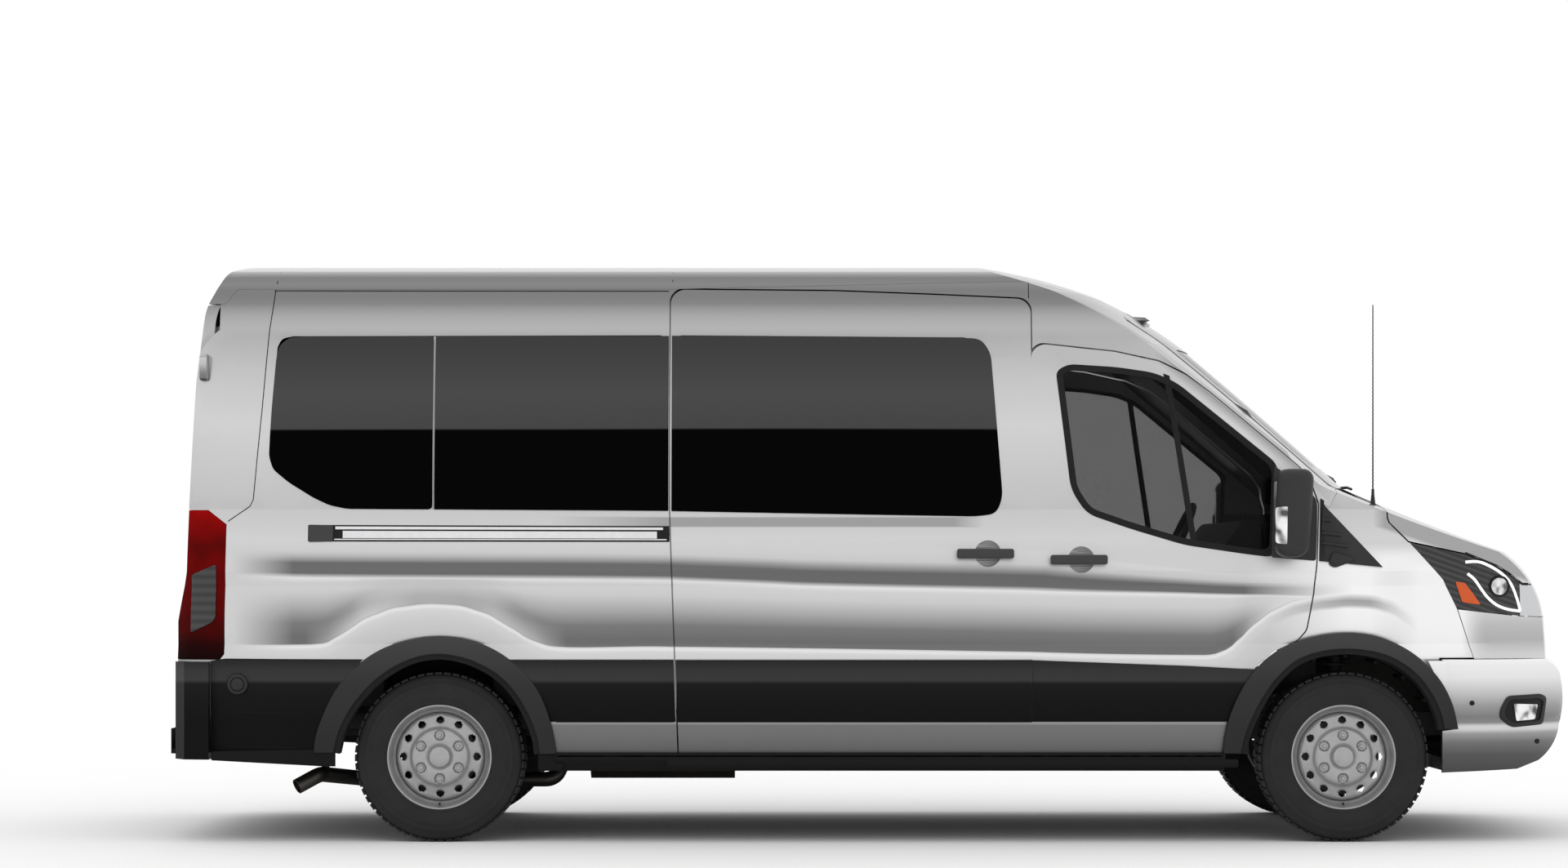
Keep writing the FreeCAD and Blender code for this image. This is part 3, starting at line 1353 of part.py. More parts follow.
def exhaust():
    """The exhaust: a silencer under the floor and a tail pipe over to the right, its end turned down."""
    y = -pipe_half
    start = V(-overall_length / 10, y / 2, pipe_z + silencer_radius / 2)
    box_end = start + V(-silencer_length, 0, 0)
    can = tube(start, box_end, silencer_radius)
    low_z = pipe_z
    route = [box_end + V(pipe_bend / 2, 0, 0), box_end + V(-pipe_bend, 0, 0),
             V(rear_axle_x + arch_radius, y / 2 - wall, low_z - wall),
             V(rear_axle_x - tail_ahead, y / 2 - wall, low_z - wall),
             V(rear_axle_x - tail_behind, -half_belt + 3 * wall, low_z),
             V(rear_axle_x - tail_end, -half_belt + 2 * wall, low_z - wall)]
    tail = pipe(route, pipe_radius, tail_bend, pipe_bore)
    front_end = V(front_axle_x + shaft_front_x_share * wheelbase, y / 2, start.z)
    front = tube(start + V(-wall, 0, 0), front_end, pipe_radius)
    return can.fuse(front).fuse(tail)


def mirror():
    """The right door mirror, a rounded head on a short arm."""
    rear_x = point(mirror_rear_x_share)[0]
    front_x = point(mirror_front_x_share)[0]
    points = [(rear_x, mirror_low_z), (front_x - mirror_corner / 2, mirror_low_z),
              (front_x, mirror_high_z - mirror_corner), (front_x - mirror_corner, mirror_high_z),
              (rear_x, mirror_high_z)]
    head = side_prism(points, -mirror_outer_half, -mirror_inner_half, mirror_corner)
    plan = [(rear_x, -mirror_outer_half), (rear_x, -mirror_inner_half),
            (front_x - mirror_corner, -mirror_inner_half),
            (front_x, -(mirror_inner_half + mirror_outer_half) / 2),
            (front_x - mirror_corner, -mirror_outer_half)]
    head = head.common(plan_prism(plan, 0, roof_height, mirror_plan_corner))
    z = mirror_low_z + (mirror_high_z - mirror_low_z) / 4
    x = (rear_x + front_x) / 2
    arm = tube(V(x, -mirror_inner_half - wall, z), V(x, -half_body + 3 * seam_gap, z), mirror_arm_radius)
    return head, arm


def door_handle(share):
    """A pull handle that stands off the door on two feet."""
    x, z = point(share)
    y = -half_body - cladding_depth
    bar = block(x - handle_half_length, x + handle_half_length, y - handle_height, y - handle_height / 2,
                z - handle_height / 2, z + handle_height / 2)
    feet = []
    for side in (-1, 1):
        foot_x = x + side * (handle_half_length - handle_height / 2)
        feet.append(block(foot_x - handle_height / 2, foot_x + handle_height / 2, y - handle_height,
                          -half_belt + wall, z - handle_height / 2, z + handle_height / 2))
    return bar.fuse(feet[0]).fuse(feet[1]).cut(flank)


def door_trim_right():
    """What is bolted to the front door: mirror with its sail, pull handle and moulding."""
    head, arm = mirror()
    cover = flank_form(-sail_depth).cut(flank_form(-seat_gap))
    sail = cover.common(right_prism(sail_door_shares))
    mirror_unit = sail.fuse(arm.cut(flank_form(-seat_gap))).fuse(head)
    return Part.makeCompound([mirror_unit, door_handle(handle_front_share), door_band(front_door_shares)])


def sail_cover():
    """The black triangular cover on the wing ahead of each door mirror."""
    cover = flank_form(-sail_depth).cut(flank_form(-seat_gap))
    return cover.common(right_prism(sail_fender_shares))


def antenna():
    """The mast on the right wing, a slim rod on a cone."""
    x, low = point(antenna_foot_share)
    high = point(antenna_top_share)[1]
    cone = Part.makeCone(antenna_cone, antenna_radius, antenna_cone_height, V(x, -antenna_half, low))
    return cone.fuse(tube(V(x, -antenna_half, low), V(x, -antenna_half, high), antenna_radius)).cut(outer)


def cowl_panel():
    """The black plastic panel between the windscreen and the bonnet."""
    rear_x, rear_z = point(cowl_rear_share)
    front_x, front_z = point(cowl_front_share)
    cutter = [(rear_x, rear_z - panel), (rear_x, rear_z + 2 * wall), (front_x, rear_z + 2 * wall),
              (front_x, front_z - 3 * wall), (rear_x, front_z - 3 * wall)]
    cover = skin.common(side_prism(cutter, -screen_bottom_half, screen_bottom_half, 0))
    lugs = []
    for side in (-1, 1):
        lug = skin_inside.common(block(front_x - wall, front_x + wall, side * lug_half,
                                       side * (lug_half + wall), belt_z - wall, roof_height))
        lug.translate(V(0, 0, -seat_gap))
        lugs.append(lug)
    return Part.makeCompound([cover] + lugs)


def wiper(y):
    """A wiper arm with its blade lying along the bottom of the windscreen."""
    x, z = point(cowl_rear_share)
    base = V(x + wall / 2, y, z + 2 * wiper_radius)
    tip = base + V(-wall / 2, wiper_lean_share * wiper_length, wall)
    pivot = tube(V(base.x, y, z - 2 * wall), base + V(0, 0, wiper_radius), wiper_pivot_radius)
    return tube(base, tip, wiper_radius).fuse(pivot).cut(outer)


def stop_lamp():
    """The high stop lamp and camera housing over the rear doors."""
    low = point(stop_lamp_low_share)
    high = point(stop_lamp_high_share)
    points = [(low[0], high[1] - wall), (low[0] + wall / 2, high[1] - seam_gap), (high[0], high[1]),
              (high[0] + wall, high[1] - 2 * wall), (low[0] + wall, low[1])]
    body = side_prism(points, -stop_lamp_half, stop_lamp_half, 0)
    return body.cut(outer)


# Cabin

dash_front_x_share = (-0.0376, 0.0000)
dash_rear_x_share = (-0.1363, 0.0000)
dash_half = 850.0
dash_low_z = 900.0
dash_high_z = 1290.0
firewall_x_share = (-0.0221, 0.0000)
firewall_thickness = 12.0
firewall_half = 640.0
firewall_top_z = 1380.0
wheel_ring_radius = 190.0
wheel_ring_bar = 15.0
spoke_bar = 10.5
steering_half = 456.0
steering_slope_share = -0.45
dash_foot_share = 0.35
dash_hood_share = 0.3
dash_knee_share = 0.1
seat_base_z = 720.0
seat_cushion = 130.0
seat_width = 470.0
seat_depth = 480.0
seat_back_height = 620.0
seat_back_thickness = 110.0
seat_back_lean = 90.0
seat_corner = 40.0
head_rest_width = 250.0
head_rest_height = 170.0
head_rest_corner = 24.0
front_seat_x_share = (-0.2909, 0.0000)
front_seat_half = 480.0
row_x_shares = ((-0.5336, 0.0000), (-0.7469, 0.0000), (-0.9603, 0.0000), (-1.1736, 0.0000))
row_left = 520.0
row_right = -480.0
pedestal_inset = 90.0


def seat(x, y, width):
    """One seat: pedestal, cushion, leaning back and head rest, joined as one moulded shape."""
    half = width / 2
    low = floor_z + floor_thickness + rib_height + seat_gap
    top = seat_base_z + seat_cushion
    cushion = side_prism([(x, seat_base_z), (x + seat_depth, seat_base_z),
                          (x + seat_depth, top + seat_corner / 2), (x, top)],
                         y - half, y + half, seat_corner)
    back = side_prism([(x - seat_back_thickness / 2, top - seat_cushion / 2),
                       (x + seat_back_thickness, top - seat_cushion / 2),
                       (x - seat_back_lean + seat_back_thickness / 2, top + seat_back_height),
                       (x - seat_back_lean - seat_back_thickness / 3, top + seat_back_height)],
                      y - half, y + half, seat_corner)
    count = max(1, round(width / seat_width))
    rests = None
    for i in range(count):
        middle = y - half + (2 * i + 1) * width / (2 * count)
        rest_low = top + seat_back_height - seat_corner
        rest_high = top + seat_back_height + head_rest_height
        rest = side_prism([(x - seat_back_lean - seat_back_thickness / 3, rest_low),
                           (x - seat_back_lean + seat_back_thickness / 2, rest_low),
                           (x - seat_back_lean + seat_back_thickness / 3, rest_high),
                           (x - seat_back_lean - seat_back_thickness / 3, rest_high)],
                          middle - head_rest_width / 2, middle + head_rest_width / 2, head_rest_corner)
        rests = rest if rests is None else rests.fuse(rest)
    pedestal = block(x + pedestal_inset, x + seat_depth - pedestal_inset, y - half + pedestal_inset,
                     y + half - pedestal_inset, low, seat_base_z + seat_corner)
    return pedestal.fuse(cushion).fuse(back).fuse(rests)


def dashboard():
    """The dashboard with its hood, the bulkhead behind it and the steering wheel on its column."""
    front_x = point(dash_front_x_share)[0]
    rear_x = point(dash_rear_x_share)[0]
    depth = front_x - rear_x
    points = [(rear_x + depth * dash_foot_share, dash_low_z), (front_x, dash_low_z), (front_x, dash_high_z),
              (rear_x + depth * dash_hood_share, dash_high_z + wall), (rear_x, dash_high_z - 2 * wall),
              (rear_x + depth * dash_knee_share, dash_low_z + 2 * wall)]
    dash = side_prism(points, -dash_half, dash_half, seat_corner)
    wall_x = point(firewall_x_share)[0]
    bulkhead = block(wall_x, wall_x + firewall_thickness, -firewall_half, firewall_half,
                     floor_z + floor_thickness + seat_gap, firewall_top_z)
    link = block(front_x - wall, wall_x + firewall_thickness, -firewall_half / 2, firewall_half / 2,
                 dash_low_z, dash_low_z + wall)
    hub = V(rear_x - wall, steering_half, dash_high_z - wall)
    lean = V(1, 0, steering_slope_share).normalize()
    ring = Part.makeTorus(wheel_ring_radius, wheel_ring_bar, hub, lean)
    column = tube(hub, hub + lean * (3 * wall), 2 * wheel_ring_bar)
    spoke = tube(hub + V(0, -wheel_ring_radius, 0), hub + V(0, wheel_ring_radius, 0), spoke_bar)
    return dash.fuse(bulkhead).fuse(link).fuse(ring.fuse(column).fuse(spoke))


save("front_suspension", front_suspension())
save("exhaust", exhaust())
trim = door_trim_right()
save("front_door_trim_right", trim)
save("front_door_trim_left", mirrored(trim))
glass = flank_glass.common(right_prism(front_window_shares, -seat_gap, window_corner))
save("front_door_glass_right", glass)
save("front_door_glass_left", mirrored(glass))
save("mirror_sails", pair(sail_cover()))
save("antenna", antenna())
save("cowl_panel", cowl_panel())
save("wipers", Part.makeCompound([wiper(wiper_right), wiper(wiper_left)]))
save("stop_lamp", stop_lamp())
save("dashboard", dashboard())
front_seat_x = point(front_seat_x_share)[0]
save("front_seats", pair(seat(front_seat_x, -front_seat_half, seat_width)))
rows = []
room = housing_room(rear_axle_x, liner_inner_half - seat_gap)
for share in row_x_shares:
    x = point(share)[0]
    rows.append(seat(x, row_left - seat_width / 4, 2 * seat_width).cut(room))
    rows.append(seat(x, row_right - seat_width / 3, seat_width).cut(room))
save("rear_seats", Part.makeCompound(rows))
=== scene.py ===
import math

import bpy
from mathutils import Matrix, Vector
from mathutils.bvhtree import BVHTree


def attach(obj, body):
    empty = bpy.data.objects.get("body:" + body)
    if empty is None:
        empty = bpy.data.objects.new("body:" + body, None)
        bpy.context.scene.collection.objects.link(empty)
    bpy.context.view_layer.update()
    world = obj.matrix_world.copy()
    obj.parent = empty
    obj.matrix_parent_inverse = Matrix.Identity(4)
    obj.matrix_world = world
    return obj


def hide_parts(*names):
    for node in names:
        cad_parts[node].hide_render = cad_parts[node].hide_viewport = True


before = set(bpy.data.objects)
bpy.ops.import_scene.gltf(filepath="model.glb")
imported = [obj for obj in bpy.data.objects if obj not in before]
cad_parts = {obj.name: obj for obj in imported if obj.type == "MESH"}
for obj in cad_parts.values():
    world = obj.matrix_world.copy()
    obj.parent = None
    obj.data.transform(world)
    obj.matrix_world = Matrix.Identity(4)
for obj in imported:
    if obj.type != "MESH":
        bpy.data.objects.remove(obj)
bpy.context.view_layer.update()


# The camera stands seventeen metres off the right side at the height of the
# door handles, level and square to the vehicle, with a long lens.
eye_place = (-0.314, -17.312, 1.168)
bpy.ops.object.camera_add(location=eye_place, rotation=(math.pi / 2, 0, 0))
eye = bpy.context.object
eye.name = "side_view_camera"
eye.data.lens = 90.47
eye.data.shift_x = -0.0101
eye.data.shift_y = 0.0806
eye.data.clip_end = 200.0
bpy.context.scene.camera = eye
bpy.context.scene.view_settings.view_transform = "Standard"


# The floor and the room come first. One wrapped socket stands for a value in a
# material, so that a mask or a wear pattern is written as plain arithmetic.
class Value:
    def __init__(self, tree, socket):
        self.tree = tree
        self.socket = socket

    def reckon(self, operation, other=None, swapped=False):
        node = self.tree.nodes.new("ShaderNodeMath")
        node.operation = operation
        pair = [self, other] if other is not None else [self]
        for slot, item in enumerate(reversed(pair) if swapped else pair):
            if isinstance(item, Value):
                self.tree.links.new(item.socket, node.inputs[slot])
            else:
                node.inputs[slot].default_value = item
        return Value(self.tree, node.outputs[0])

    def __add__(self, other):
        return self.reckon("ADD", other)

    def __sub__(self, other):
        return self.reckon("SUBTRACT", other)

    def __rsub__(self, other):
        return self.reckon("SUBTRACT", other, swapped=True)

    def __mul__(self, other):
        return self.reckon("MULTIPLY", other)

    def __gt__(self, other):
        return self.reckon("GREATER_THAN", other)

    def __lt__(self, other):
        return self.reckon("LESS_THAN", other)

    def either(self, other):
        return self.reckon("MAXIMUM", other)

    def least(self, other):
        return self.reckon("MINIMUM", other)

    def clamped(self):
        return self.least(1.0).either(0.0)

    def size(self):
        return self.reckon("ABSOLUTE")

    def wave(self):
        return self.reckon("SINE")


class Finish:
    """A material with one principled shader and a few calls to add nodes to it."""

    def __init__(self, name, colour, roughness, metallic=0.0, **constants):
        self.material = bpy.data.materials.new(name)
        self.material.use_nodes = True
        self.tree = self.material.node_tree
        self.shader = self.tree.nodes["Principled BSDF"]
        self.set(**{"Base Color": (*colour, 1.0), "Roughness": roughness, "Metallic": metallic})
        self.set(**{key.replace("_", " ").title().replace("Ior", "IOR"): v for key, v in constants.items()})
        self.place = Value(self.tree, self.node("ShaderNodeTexCoord").outputs["Object"])
        parts = self.node("ShaderNodeSeparateXYZ", Vector=self.place)
        self.x, self.y, self.z = (Value(self.tree, socket) for socket in parts.outputs)

    def set(self, **sockets):
        for key, item in sockets.items():
            self.plug(self.shader.inputs[key], item)

    def plug(self, socket, item):
        if isinstance(item, Value):
            self.tree.links.new(item.socket, socket)
        else:
            socket.default_value = item

    def node(self, kind, settings=(), **sockets):
        node = self.tree.nodes.new(kind)
        for key, item in dict(settings).items():
            if key == "stops":
                ramp = node.color_ramp
                for stop, (at, shade) in zip((ramp.elements[0], ramp.elements[1]), (item[0], item[-1])):
                    stop.position = at
                    stop.color = (shade, shade, shade, 1)
                for at, shade in item[1:-1]:
                    stop = ramp.elements.new(at)
                    stop.color = (shade, shade, shade, 1)
            else:
                setattr(node, key, item)
        for key, item in sockets.items():
            self.plug(node.inputs[key.replace("_", " ")], item)
        return node

    def noise(self, scale, detail=2.0):
        made = self.node("ShaderNodeTexNoise", Vector=self.place, Scale=scale, Detail=detail, Roughness=0.5)
        return Value(self.tree, made.outputs["Fac"])

    def ramp(self, value, stops):
        made = self.node("ShaderNodeValToRGB", {"stops": stops})
        self.plug(made.inputs[0], value)
        return Value(self.tree, made.outputs[0])

    def blend(self, mask, first, second):
        mixed = self.node("ShaderNodeMix", {"data_type": "RGBA"})
        self.plug(mixed.inputs["Factor"], mask)
        self.plug(mixed.inputs["A"], first if isinstance(first, Value) else (*first, 1.0))
        self.plug(mixed.inputs["B"], second if isinstance(second, Value) else (*second, 1.0))
        return Value(self.tree, mixed.outputs["Result"])

    def scaled(self, colour, amount):
        tint = self.node("ShaderNodeVectorMath", {"operation": "SCALE"})
        self.plug(tint.inputs[0], colour)
        self.plug(tint.inputs["Scale"], amount)
        return Value(self.tree, tint.outputs[0])

    def coloured(self, colour):
        self.set(**{"Base Color": colour})

    def mottled(self, scale, detail, first, second):
        self.coloured(self.blend(self.noise(scale, detail), first, second))

    def bump(self, height, strength, distance):
        raised = self.node("ShaderNodeBump", Strength=strength, Distance=distance, Height=height)
        self.set(Normal=Value(self.tree, raised.outputs[0]))


floor_colour = (0.93, 0.93, 0.93)
bpy.ops.object.select_all(action="DESELECT")
bpy.ops.mesh.primitive_plane_add(size=240.0, location=(0, 0, 0))
floor = bpy.context.object
floor.name = "studio_floor"
pale = Finish("studio_floor_paint", floor_colour, 0.9, specular_ior_level=0.0)
pale.mottled(0.6, 2.0, floor_colour, (0.95, 0.95, 0.95))
floor.data.materials.append(pale.material)

room = bpy.data.worlds.new("studio_room")
bpy.context.scene.world = room
room.use_nodes = True
tree = room.node_tree
path = tree.nodes.new("ShaderNodeLightPath")
seen = Value(tree, path.outputs["Is Camera Ray"])
seen = seen.either(Value(tree, path.outputs["Is Glossy Ray"]))
seen = seen.either(Value(tree, path.outputs["Is Transmission Ray"]))
coord = tree.nodes.new("ShaderNodeTexCoord")
split = tree.nodes.new("ShaderNodeSeparateXYZ")
tree.links.new(coord.outputs["Generated"], split.inputs[0])
light_gain = 0.62
light_level = 0.66
light = Value(tree, split.outputs["Z"]) * light_gain + light_level
level = light * (1.0 - seen) + seen
tree.links.new(level.socket, tree.nodes["Background"].inputs["Strength"])
tree.nodes["Background"].inputs["Color"].default_value = (1, 1, 1, 1)


# Silver metallic paint under clear lacquer covers every pressed panel. Its colour
# carries painted shade and painted highlights: it is painted darker where a panel
# turns to the ground, and bands of painted shade and highlight follow the folds
# pressed into the sides, the sill, the roof edge, the pillars and the panel gaps.
def dress(node, finish):
    """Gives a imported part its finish."""
    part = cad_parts[node]
    part.data.materials.clear()
    part.data.materials.append(finish.material)
    for face in part.data.polygons:
        face.material_index = 0


# Tones of the painted shade and painted highlights in the body paint: by how a panel leans, along its folds and
# by region.
painted_lean_shade = ((0.0, 0.05), (0.30, 0.07), (0.40, 0.16), (0.46, 0.22), (0.49, 0.36), (0.52, 0.55), (0.555, 0.64),
              (0.58, 0.55), (0.61, 0.36), (0.66, 0.44), (0.80, 0.58), (1.0, 0.52))
fold_line = ((-2.90, 0.822), (-2.33, 0.822), (-2.25, 0.842), (-2.14, 0.912), (-2.03, 0.962), (-1.92, 0.984),
             (-1.797, 0.989), (-1.68, 0.973), (-1.57, 0.930), (-1.47, 0.868), (-1.38, 0.825), (-1.28, 0.810),
             (-0.85, 0.812), (0.64, 0.791), (1.34, 0.778), (1.42, 0.788), (1.48, 0.822), (1.54, 0.882),
             (1.61, 0.942), (1.70, 0.990), (1.80, 1.017), (1.90, 1.030), (1.99, 1.034), (2.09, 1.022),
             (2.173, 0.986), (2.26, 0.912), (2.33, 0.826), (2.38, 0.76), (2.50, 0.72), (2.90, 0.70))
crease_line = ((-2.90, 1.112), (-2.40, 1.096), (-0.85, 1.084), (-0.335, 1.062), (0.64, 1.040), (1.30, 1.026),
               (1.75, 1.016), (2.90, 1.00))
painted_shade_under_crease = ((0.0, 0.16), (0.10, 0.15), (0.32, 0.19), (0.55, 0.40), (0.78, 0.60), (0.93, 0.64), (1.0, 0.78))
painted_shade_over_crease = ((0.0, 0.78), (0.06, 0.40), (0.11, 0.145), (0.36, 0.135), (0.47, 0.30), (0.62, 0.58), (0.9, 0.66),
               (1.0, 0.62))
painted_shade_under_fold = ((0.0, 0.56), (0.55, 0.60), (0.84, 0.66), (0.93, 0.80), (0.985, 0.62), (1.0, 0.16))
painted_wing_groove_shade = ((0.0, 0.88), (0.58, 0.90), (0.68, 0.42), (0.80, 0.36), (0.92, 0.70), (1.0, 0.95))
painted_sill_shade = ((0.0, 0.08), (0.06, 0.12), (0.5, 0.155), (0.86, 0.175), (0.90, 0.30), (1.0, 0.34))
painted_roof_edge_shade = ((0.0, 0.52), (0.09, 0.47), (0.22, 0.43), (0.29, 0.39), (0.36, 0.33), (0.44, 0.23), (0.52, 0.205),
              (0.60, 0.20), (0.67, 0.23), (0.75, 0.195), (0.82, 0.34), (0.90, 0.52), (1.0, 0.60))
painted_nose_shade = ((0.0, 0.70), (0.08, 0.62), (0.22, 0.44), (0.38, 0.50), (0.52, 0.62), (1.0, 0.60))
plain_tone = 0.62
painted_narrow_shade = 0.55
painted_wing_light = 0.92
painted_fender_light = 0.90
painted_arch_flank_light = 0.74
window_shade = 0.34
painted_pillar_shade = 0.26
painted_post_shade = 0.27
painted_hood_flank_shade = 0.37
painted_gap_shade = 0.006
roof_foot = 2.08
roof_rise = 0.36
sill_foot = 0.37
sill_rise = 0.135
band_height = 0.18
fold_depth = 0.16
reach_x = 5.8
rear_arch_x = -1.80
flake_scale = 1400.0


def grey(shade):
    """A neutral colour of one shade."""
    return (shade, shade, shade)


def within(*limits):
    """A mask that is one where all its limits hold and fades out at each of them."""
    mask = limits[0]
    for limit in limits[1:]:
        mask = mask.least(limit)
    return mask.clamped()


def line_height(paint, places):
    """The height of a pressed line at each place along the vehicle."""
    stops = [((x + reach_x / 2) / reach_x, z / 2) for x, z in places]
    made = paint.node("ShaderNodeValToRGB", {"stops": stops})
    made.color_ramp.interpolation = "CARDINAL"
    paint.plug(made.inputs[0], (paint.x + reach_x / 2) * (1 / reach_x))
    return Value(paint.tree, made.outputs[0]) * 2.0


def painted_fold_shading(paint):
    """Painted shade and highlights on the flank, along the shoulder crease and the fold over the arches."""
    # Painted shade and highlights: bands of tone around the crease and the fold, a painted highlight over the
    # rear arch's flank and the front wing, and painted shade in the groove under the fold.
    fold = line_height(paint, fold_line)
    crease = line_height(paint, crease_line)
    up = (paint.z - fold).reckon("DIVIDE", (crease - fold).either(0.02))
    room_between = ((crease - fold - 0.05) * 6.5).clamped()
    middle = paint.blend(room_between, grey(painted_narrow_shade), paint.ramp(up, painted_shade_under_crease))
    taper = ((paint.x - 0.7) * 1.2).clamped()
    high = paint.ramp((paint.z - crease) * (1 / band_height) * (taper * 0.9 + 1.0), painted_shade_over_crease)
    flank = (((paint.x - rear_arch_x).size() - 0.10) * 3.5).clamped()
    for reach in ((paint.x + 2.36) * 3.4, (-1.28 - paint.x) * 3.4, (fold + 0.10 - paint.z) * 11.0):
        flank = flank * reach.clamped()
    middle = paint.blend(flank, middle, grey(painted_arch_flank_light))
    runout = ((1.98 - paint.x) * 2.2).clamped()
    high = paint.blend(runout, grey(painted_wing_light), high)
    middle = paint.blend(runout, grey(painted_wing_light), middle)
    depth = (paint.z - fold) * (1 / fold_depth) + 1.0
    wing = ((paint.x - 1.62) * 3.0).clamped()
    low = paint.blend(wing, paint.ramp(depth, painted_shade_under_fold), paint.ramp(depth, painted_wing_groove_shade))
    pressed = paint.blend(paint.z > crease, middle, high)
    pressed = paint.blend(paint.z < fold, pressed, low)
    calm = ((paint.x + 2.66) * 4.0).clamped()
    return paint.blend(calm, grey(plain_tone), pressed)


def silver_with_painted_shade(name, shade=1.0, roughness=0.32):
    """The body colour, with painted shade and highlights by how a panel leans and along its pressed folds."""
    paint = Finish(name, (0.6, 0.61, 0.62), roughness, 0.85, coat_weight=0.25, coat_roughness=0.03)
    facing = Value(paint.tree, paint.node("ShaderNodeNewGeometry").outputs["Normal"])
    lean = paint.node("ShaderNodeSeparateXYZ", Vector=facing)
    ahead, across, upward = (Value(paint.tree, lean.outputs[i]) for i in range(3))
    across = across.size()
    side = (across - 0.80) * 8.0
    # Painted shade: the colour darkens as a panel turns towards the ground.
    tone = paint.ramp(upward * 0.5 + 0.5, painted_lean_shade)
    # Painted shade and highlights on the flank, the sill, the fender, under the windows, at the roof edge, on
    # the pillars and on the hood's flank and nose.
    flank = within(side, (1.24 - paint.z) * 12.0, (paint.z - 0.50) * 30.0, (2.50 - paint.x) * 2.2)
    tone = paint.blend(flank, tone, painted_fold_shading(paint))
    sill = within(side, (0.505 - paint.z) * 60.0, (1.46 - paint.x) * 60.0)
    tone = paint.blend(sill, tone, paint.ramp((paint.z - sill_foot) * (1 / sill_rise), painted_sill_shade))
    fender = within(side, (paint.x - 2.05) * 5.0, (1.22 - paint.z) * 12.0, (paint.z - 0.755) * 60.0,
                    (2.60 - paint.x) * 6.0)
    tone = paint.blend(fender, tone, grey(painted_fender_light))
    under_window = within((paint.z - 1.303) * 150.0, (1.350 - paint.z) * 150.0, (paint.x + 1.35) * 2.0,
                          (0.45 - paint.x) * 8.0, side)
    tone = paint.blend(under_window, tone, grey(window_shade))
    roof_edge = within((across - 0.12) * 6.0, (paint.z - 2.10) * 30.0)
    tone = paint.blend(roof_edge, tone, paint.ramp((paint.z - roof_foot) * (1 / roof_rise), painted_roof_edge_shade))
    rake = (paint.z - 1.560) + (paint.x - 1.660) * 0.817
    post = within(rake * 18.0 - 0.5, (paint.x - 1.16) * 8.0, side, (1.90 - paint.x) * 5.0)
    tone = paint.blend(post, tone, grey(painted_post_shade))
    pillar = within((ahead - 0.2) * 8.0, (across - 0.25) * 8.0, (paint.z - 1.48) * 20.0)
    tone = paint.blend(pillar, tone, grey(painted_pillar_shade))
    hood_flank = within((paint.z - 1.256 + (paint.x - 2.209) * 0.347) * 60.0, (paint.x - 2.06) * 20.0,
                        (across - 0.2) * 4.0)
    tone = paint.blend(hood_flank, tone, grey(painted_hood_flank_shade))
    nose = within((paint.x - 2.44) * 8.0, (1.20 - paint.z) * 12.0, 1.0 - hood_flank)
    tone = paint.blend(nose, tone, paint.ramp((paint.z - 0.75) * 2.5, painted_nose_shade))
    # Painted shade in the gaps between panels: faces that turn into a gap are painted near black.
    gap = within((0.30 - across) * 12.0, (paint.x + 2.42) * 20.0, (1.73 - paint.x) * 40.0,
                 (2.27 - paint.z) * 30.0, (paint.z - 0.44) * 40.0, (paint.y.size() - 0.86) * 30.0)
    tone = paint.blend(gap, tone, grey(painted_gap_shade))
    paint.coloured(paint.scaled(tone, paint.noise(flake_scale, 1.0) * 0.10 + 0.95 * shade))
    return paint


silver = silver_with_painted_shade("silver_with_painted_shade")
for node in ("side_body_right", "side_body_left", "roof_panel", "sliding_door", "front_door_right",
             "front_door_left", "rear_door_right", "rear_door_left", "hood", "front_fenders", "nose_panels"):
    dress(node, silver)


# The front bumper is a moulded cover in the body colour with painted shade and painted
# highlights: its tones, darker towards the bottom, follow the step under the lamps
# and the roll of its lower edge.
painted_bumper_shade = ((0.0, 0.05), (0.08, 0.07), (0.17, 0.085), (0.28, 0.16), (0.355, 0.32), (0.39, 0.62),
                (0.42, 0.66), (0.45, 0.24), (0.50, 0.20), (0.60, 0.32), (0.70, 0.52), (0.84, 0.78),
                (0.95, 0.84), (1.0, 0.9))
bumper_low = 0.282
bumper_high = 0.757
bumper_silver_painted_shade = Finish("bumper_silver_painted_shade", (0.6, 0.61, 0.62), 0.35, 0.85, coat_weight=0.25, coat_roughness=0.03)
rise = (bumper_silver_painted_shade.z - bumper_low) * (1 / (bumper_high - bumper_low))
flake = bumper_silver_painted_shade.noise(flake_scale, 1.0) * 0.10 + 0.95
# Painted shade and highlight by height on the bumper.
bumper_silver_painted_shade.coloured(bumper_silver_painted_shade.scaled(bumper_silver_painted_shade.ramp(rise, painted_bumper_shade), flake))
dress("front_bumper", bumper_silver_painted_shade)


# Grained black mouldings in bare plastic: the panel at the foot of the
# windscreen, the stop lamp's housing, the sills and, glossier, the grille.
def moulded(name, colour, roughness, grain, depth):
    """Injection moulded plastic with an even leather grain and a slight bloom."""
    plastic = Finish(name, colour, roughness, specular_ior_level=0.14)
    worn = tuple(c * 1.5 for c in colour)
    plastic.mottled(5.0, 3.0, colour, worn)
    plastic.bump(plastic.noise(grain, 2.0), 0.3, depth)
    return plastic


grained_black = moulded("grained_black", (0.016, 0.016, 0.017), 0.48, 900.0, 0.0004)
for node in ("cowl_panel", "stop_lamp"):
    dress(node, grained_black)
step_black = moulded("step_black", (0.0035, 0.0035, 0.0036), 0.5, 900.0, 0.0004)
dress("side_sills", step_black)
gloss_black = Finish("gloss_black", (0.012, 0.012, 0.013), 0.16, coat_weight=0.4)
gloss_black.bump(gloss_black.noise(60.0), 0.04, 0.0005)
dress("grille", gloss_black)


